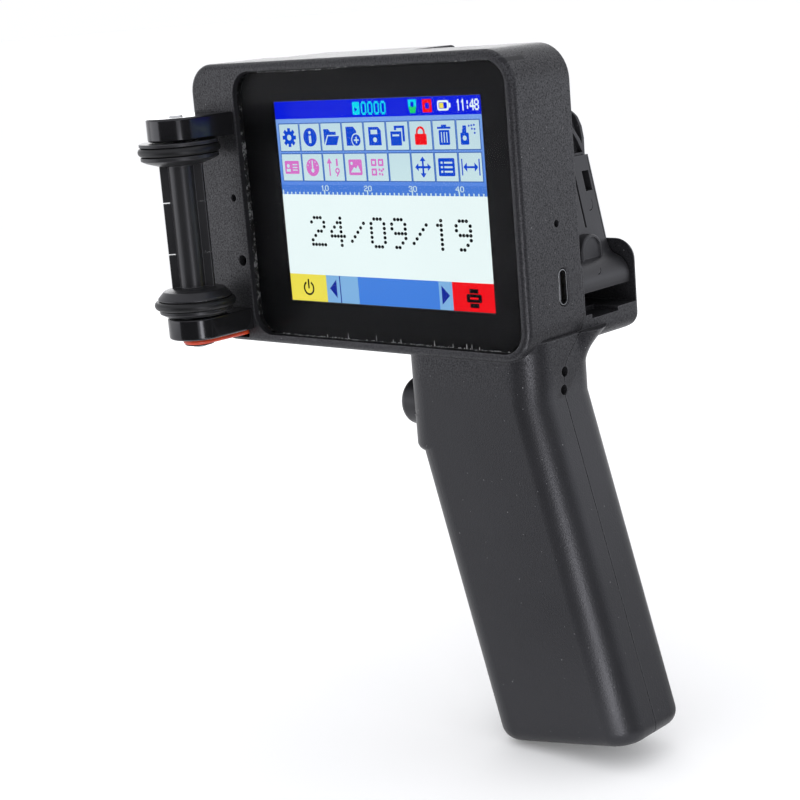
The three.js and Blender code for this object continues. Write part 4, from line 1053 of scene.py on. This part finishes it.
def latch_face(inner):
    pts = [(36.4, -25.2), (44.4, -25.2)]
    pts += bezier((44.4, -25.2), (45.4, -22), (43.6, -19), (40.6, -18.2), 10)
    pts += bezier((40.6, -18.2), (39, -17.7), (38.4, -15.9), (38, -13.9), 8)
    pts += [(33.8, 6.9)]
    pts += bezier((33.8, 6.9), (33.7, 13.5), (32.6, 17.4), (27.5, 19.4), 14)
    pts += [(26.4 - inner, 17.2)]
    pts += bezier((26.4 - inner, 17.2), (30.4 - inner, 15.6), (31.2 - inner, 11),
                  (31.3 - inner, 6.4), 12)
    pts += [(35.4 - inner, -14.4)]
    return pts


def latch():
    y0, y1 = 22.0, 43.1

    def arch(by):
        return [(29.1 + by, -23.6), (37.9 - by, -23.6)] + arc(33.5, -16.2, 4.4 - by, 0, 180, 24)

    def half_ring(y, z, r, width, low, half):
        return combined(bar("x", y, z, r, low, 60, 40), cuts=[
            bar("x", y, z, r - width, 0, 70, 40), block(-FAR, FAR, -FAR, half, -FAR, FAR)])

    pad = combined(prism(arch(0), "x", 37, 40.4, 0, 0.5, 4),
                   cuts=[prism(arch(0.8), "x", 39.95, 45), bar("y", *PIVOT, 2.5, 0, 60)])
    hook = [(40, 7.3), (40, 24), (28.4, 24), (29.5, 18.6), (31, 17.2), (32.2, 14.5), (32.7, 11.5),
            (32.65, 7.3)]
    pocket = [(40, 7.9), (40, 24), (28.4, 24), (27.6, 17.6), (29.9, 15.6), (31.2, 12), (31.3, 7.9)]
    rib = [(43.4, 6.0), (44.3, 6.6), (34.9, 21.4), (34.0, 20.8)]
    body = combined(prism(latch_face(0), "y", y0, y1, 0.35, 0.35, 3),
                    joins=[prism(latch_face(3.4), "y", y0, y0 + 1.8, 0.3, 0.3, 3)])
    body = combined(body, joins=[prism(latch_face(3.4), "y", y1 - 1.8, y1, 0.3, 0.3, 3)])
    pockets = combined(prism(pocket, "y", y0 - 1, 42.2), cuts=[prism(rib, "x", 0, 60)])
    body = combined(body, cuts=[prism(hook, "y", y0 - 1, y1 + 1), pockets])
    body = combined(body, joins=[pad])
    # Moulding marks: a line beside the rim, half a gate mark and the boss ring on the barrel.
    line = [(39.0, -13.9), (34.8, 6.9), (33.5, 6.9), (37.7, -13.9)]
    return combined(body, cuts=[
        prism(line, "y", 42.2, 42.45), half_ring(38.7, -4.9, 1.75, 0.2, 35.95, 38.5),
        half_ring(30.3, -19.5, 1.95, 0.2, 43.4, 30.1),
        bar("y", *PIVOT, PIN_R + 0.15, 0, 60), bar("y", *PIVOT, 2.8, 26.5, 38.5),
        block(37.8, 40, 26.5, 38.5, -26, -21.5), block(28, 40, 38.8, 41.6, -1.7, 3.4),
        block(33.2, 45.2, 35.2, 35.9, -10.5, 4.2)])


piece("latch_arm", latch(), LATCH_PLASTIC,  ["cartridge_latch"], "latch")
piece("hinge_pin", combined(
    prism(circle(*PIVOT, PIN_R, 40), "y", 20.5, 44.8, 0.3, 0),
    joins=[prism(circle(*PIVOT, 2.4, 48), "y", 44.7, 45.4, 0, 0.25)]),
    STEEL, ["latch_pin"])


def coil(axis, origin, radius, wire, turns, length, steps=28):
    pts = []
    for i in range(int(turns * steps) + 1):
        a = 2 * pi * i / steps
        t = i / (turns * steps)
        # The end turns lie closed, as on a ground spring.
        eased = t + 0.035 * sin(2 * pi * t) * -1
        u, v, w = radius * cos(a), radius * sin(a), eased * length
        pts.append({"x": (origin[0] + w, origin[1] + u, origin[2] + v),
                    "y": (origin[0] + u, origin[1] + w, origin[2] + v)}[axis])
    return tube(pts, wire / 2, 10)


piece("hinge_spring", coil("y", (PIVOT[0], 28, PIVOT[1]), 2.15, 0.6, 6, 9), STEEL,
      ["latch_spring"])
piece("return_spring", coil("x", (4.6, TRIGGER.y, TRIGGER.z), 2.4, 0.7, 5, 13.7), STEEL,
      ["trigger_spring"])

# ---- socket, print end, bay


def usb_port():
    def shell(by, n=8):
        return rounded_rect(USB[0] - 1.63 + by, USB[1] - 4.47 + by, USB[0] + 1.63 - by,
                            USB[1] + 4.47 - by, 1.6 - by, n)

    mouth = HEAD.x1 - 0.25
    body = combined(prism(shell(0), "x", mouth - 7.3, mouth, 0, 0.15, 3),
                    cuts=[prism(shell(0.3), "x", mouth - 6.3, mouth + 5)])
    piece("socket_shell", body, SOCKET_STEEL, ["usb_port"])
    tongue = prism(rounded_rect(USB[0] - 0.35, USB[1] - 3.3, USB[0] + 0.35, USB[1] + 3.3, 0.15),
                   "x", mouth - 6.3, mouth - 0.9, 0, 0.15, 2)
    piece("socket_tongue", tongue, GLOSSY)
    contacts = [block(mouth - 4.4, mouth - 1.3, USB[0] - 0.38, USB[0] + 0.38, z - 0.13, z + 0.13)
                for z in (USB[1] + 0.5 * (i - 5.5) for i in range(12))]
    piece("socket_contacts", merged(*contacts), GOLD)


usb_port()


def nozzle_plate():
    x1 = BAY.x0 - GAP
    lip = [(24.9, -19.1), (40.1, -19.1), (40.1, 5.1), (24.9, 5.1)]
    body = combined(prism(rounded_rect(22, -26, 43, 12, 3, 10), "x", x1 - 1.4, x1, 0.35, 0, 4),
                    cuts=[prism(lip, "x", x1 - 3, x1 - 1.0),
                          block(-80, -55, NOZZLE.y0, NOZZLE.y1, NOZZLE.z0, NOZZLE.z1),
                          *[bar("x", 24.2, z, 1.1, -80, -58, 24) for z in (8, -22)]])
    piece("nozzle_face", body, DARK_STEEL, ["nozzle_plate"])


nozzle_plate()


def screw(name, node, origin, direction, shank, length, head, height, slot_depth=0.75):
    """Pan head with a cross recess and a threaded shank; direction is where the head points."""
    profile = [(0, -length), (shank * 0.6, -length), (shank * 0.85, -length + shank * 0.6)]
    z, pitch = -length + shank * 0.6, max(shank * 0.42, 0.4)
    while z + pitch < -0.6:
        profile += [(shank, z + pitch * 0.35), (shank * 0.82, z + pitch * 0.9)]
        z += pitch
    profile += [(shank * 0.85, -0.3), (shank * 0.85, 0), (head - 0.1, 0), (head, 0.12),
                (head, height * 0.5), (head * 0.86, height * 0.84), (head * 0.55, height),
                (0, height)]
    body = turned(profile, 0, 0, 32)
    top, arm_w, reach = height + 1, head * 0.13, head * 0.58
    body = combined(body, cuts=[
        block(-reach, reach, -arm_w, arm_w, height * (1 - slot_depth), top)])
    body = combined(body, cuts=[
        block(-arm_w, arm_w, -reach, reach, height * (1 - slot_depth), top)])
    turn = {"+y": Matrix.Rotation(radians(-90), 4, "X"),
            "-x": Matrix.Rotation(radians(-90), 4, "Y")}[direction]
    piece(name, moved(body, Matrix.Translation(origin) @ turn), STEEL, [node])


for i, z in enumerate((8, -22)):
    screw(f"plate_screw_{i + 1}", f"nozzle_screw_{i + 1}", (BAY.x0 - GAP - 1.7, 24.2, z), "-x",
          0.8, 4, 1.8, 0.9)
for i, (level, x) in enumerate([(a, x) for a in (UPPER_ARM, LOWER_ARM) for x in (-58, -52.5)]):
    screw(f"arm_bolt_{i + 1}", f"arm_screw_{i + 1}",
          (x, HEAD.y0 + WALL + GAP, (level[0] + level[1]) / 2), "+y", 1.0, 9.5, 2.1, 1.6)
for i, (x, z) in enumerate(HEAD_SCREWS):
    inside = x < 8
    screw(f"head_bolt_{i + 1}", f"head_screw_{i + 1}",
          (x, 21.9 if inside else BAY.y0 + 0.05 + GAP, z), "+y", 1.05, 13 if inside else 11,
          2.2, 1.4)
for i, (x, z) in enumerate(GRIP_SCREWS):
    screw(f"grip_bolt_{i + 1}", f"grip_screw_{i + 1}", (x, GRIP.y1 - 3.2 + GAP, z), "+y",
          1.2, 9, 2.5, 1.6)


def contact_pad():
    y0 = 21.9
    carrier = prism(rounded_rect(-49, -10, -31, 14, 0.8), "y", y0 + 1.5, y0 + 2.5, 0, 0.25, 3)
    piece("pad_carrier", carrier, GLOSSY, ["contact_pad"])
    pins = [moved(turned(softened([(0, 0), (0.5, 0), (0.5, 1.0), (0.3, 1.15), (0.3, 1.35),
                                   (0, 1.45)], 0.1), 0, 0, 16),
                  Matrix.Translation((-46 + 3 * i, y0 + 2.05, -6 + 5 * j))
                  @ Matrix.Rotation(radians(-90), 4, "X"))
            for j in range(4) for i in range(5)]
    piece("pad_pins", merged(*pins), GOLD)


contact_pad()


def guide_rail(name, node, x1, z0, z1):
    """Rail with a rounded lead-in and a long groove for the cartridge's rib."""
    outline = rounded_rect(-55, z0, x1, z1, [0.3, 1.0, 1.0, 0.3], 5)
    inner = (z0 - 1, z0 + 0.5) if z0 > 0 else (z1 - 0.5, z1 + 1)
    body = combined(prism(outline, "y", 25, 40, 0.5, 0.5, 4),
                    cuts=[block(-54, x1 + 2, 31.2, 33.8, *inner)])
    piece(name, body, SATIN, [node])


guide_rail("rail_top", "guide_rail_top", 4, 31.6, 34.3)
guide_rail("rail_bottom", "guide_rail_bottom", 24, -30.0, -27.2)

# ---- carried-over CAD nodes

for node_name, look in {
    "main_board": BOARD_GREEN, "contact_board": BOARD_GREEN, "reset_switch": DARK_STEEL,
    "reset_button": SATIN, "buzzer": GLOSSY, "battery_cell_1": CELL_BLUE,
    "battery_cell_2": CELL_BLUE, "trigger_switch": GLOSSY, "encoder_shaft": STEEL,
    "encoder_disc": DISC_CLEAR, "encoder_bracket": SATIN, "encoder_sensor": GLOSSY,
}.items():
    mesh = nodes[node_name].data
    mesh.materials.clear()
    mesh.materials.append(look)

# ---- floor, light, camera


def stage_floor():
    bm = bmesh.new()
    bmesh.ops.create_circle(bm, cap_ends=True, radius=40, segments=96)
    floor = as_object(bm, "floor")
    floor.location.z = -0.0005
    g = Graph("floor_paper")
    g.shade(Base_Color=g.ramp(g.noise(3, 3), [(0.3, 0.95), (0.7, 0.96)]), Roughness=0.9,
            Specular_IOR_Level=0.1, Emission_Color=(1, 1, 1), Emission_Strength=0.05)
    floor.data.materials.append(g.material)


def softbox(name, place, aim, size, power, colour=(1, 1, 1)):
    light = bpy.data.lights.new(name, "AREA")
    light.shape = "RECTANGLE"
    light.size, light.size_y = size
    light.energy = power
    light.color = colour
    holder = bpy.data.objects.new(name, light)
    scene.collection.objects.link(holder)
    holder.location = place
    holder.rotation_euler = (Vector(aim) - Vector(place)).to_track_quat("-Z", "Y").to_euler()
    holder.visible_camera = False


def around(azimuth, distance, height):
    """Studio point about the foot of the object's front right edge."""
    a = radians(azimuth)
    return Vector((0.047 + distance * cos(a), -0.01 + distance * sin(a), height))


def flag(name, start, end, near=0.07, far=0.4, height=0.2, tone=0.006, steps=8):
    """Felt lying on the floor and standing up behind it; only reflections see it."""
    bm = bmesh.new()
    rows = []
    for distance, z in ((near, 0.001), (far, 0.001), (far, height)):
        rows.append([bm.verts.new(around(start + (end - start) * i / steps, distance, z))
                     for i in range(steps + 1)])
    for low, high in zip(rows[:-1], rows[1:]):
        for i in range(steps):
            bm.faces.new((low[i], low[i + 1], high[i + 1], high[i]))
    card = as_object(bm, name)
    g = Graph(name + "_felt")
    g.shade(Base_Color=g.ramp(g.noise(40, 3), [(0.3, tone * 0.8), (0.7, tone * 1.2)]),
            Roughness=1.0, Specular_IOR_Level=0.0)
    card.data.materials.append(g.material)
    card.visible_camera = card.visible_shadow = card.visible_diffuse = False


def ramp_light(name, azimuth, near, far, rise, width, radiance):
    """Narrow panel that slopes up away from the object, for the streak on upright edges."""
    low, high = around(azimuth, near, 0.004), around(azimuth, far, rise)
    middle, along = (low + high) / 2, (high - low).normalized()
    across = along.cross(Vector((0, 0, 1))).normalized()
    facing = across.cross(along).normalized()
    length = (high - low).length
    softbox(name, middle, middle + facing, (width, length), pi * width * length * radiance)
    turn = Matrix((across, -along, -facing)).transposed()
    bpy.data.objects[name].rotation_euler = turn.to_euler()


def camera():
    data = bpy.data.cameras.new("camera")
    data.lens, data.sensor_width = 81.9, 36
    holder = bpy.data.objects.new("camera", data)
    scene.collection.objects.link(holder)
    right = Vector((0.74180543, 0.66557035, -0.08210243))
    up = -Vector((0.08418442, -0.2138807, -0.97322558))
    back = -Vector((-0.66531022, 0.71503227, -0.21468852))
    turn = Matrix((right, up, back)).transposed().to_4x4()
    spot = ORIGIN + Vector((313.32, -335.64, 49.96)) * MM
    holder.matrix_world = Matrix.Translation(spot) @ turn
    scene.camera = holder


stage_floor()
camera()
world = bpy.data.worlds.new("studio")
world.use_nodes = True
world.node_tree.nodes["Background"].inputs["Color"].default_value = (0.97, 0.975, 1, 1)
world.node_tree.nodes["Background"].inputs["Strength"].default_value = 1.03
scene.world = world
flag("flag_front", -127, -54)
flag("flag_right", -36, 20)
flag("flag_grey", 20, 90, near=0.04, far=0.5, height=0.01, tone=0.5)
ramp_light("streak_low", -45.5, 0.04, 0.16, 0.06, 0.030, 4.2)
ramp_light("streak_high", -45.5, 0.16, 0.26, 0.13, 0.060, 5.5)
softbox("left_front", (-0.351, -0.378, 0.11), (-0.01, -0.012, 0.09), (0.55, 0.15), 0.28)
softbox("right_back", (0.388, 0.356, 0.16), (0.047, -0.01, 0.15), (0.5, 0.14), 0.16,
        (0.9, 0.94, 1.0))
softbox("top_sheen", (-0.50, 0.60, 0.32), (0, 0, 0.17), (0.8, 0.28), 1.6)
scene.view_settings.view_transform = "Standard"
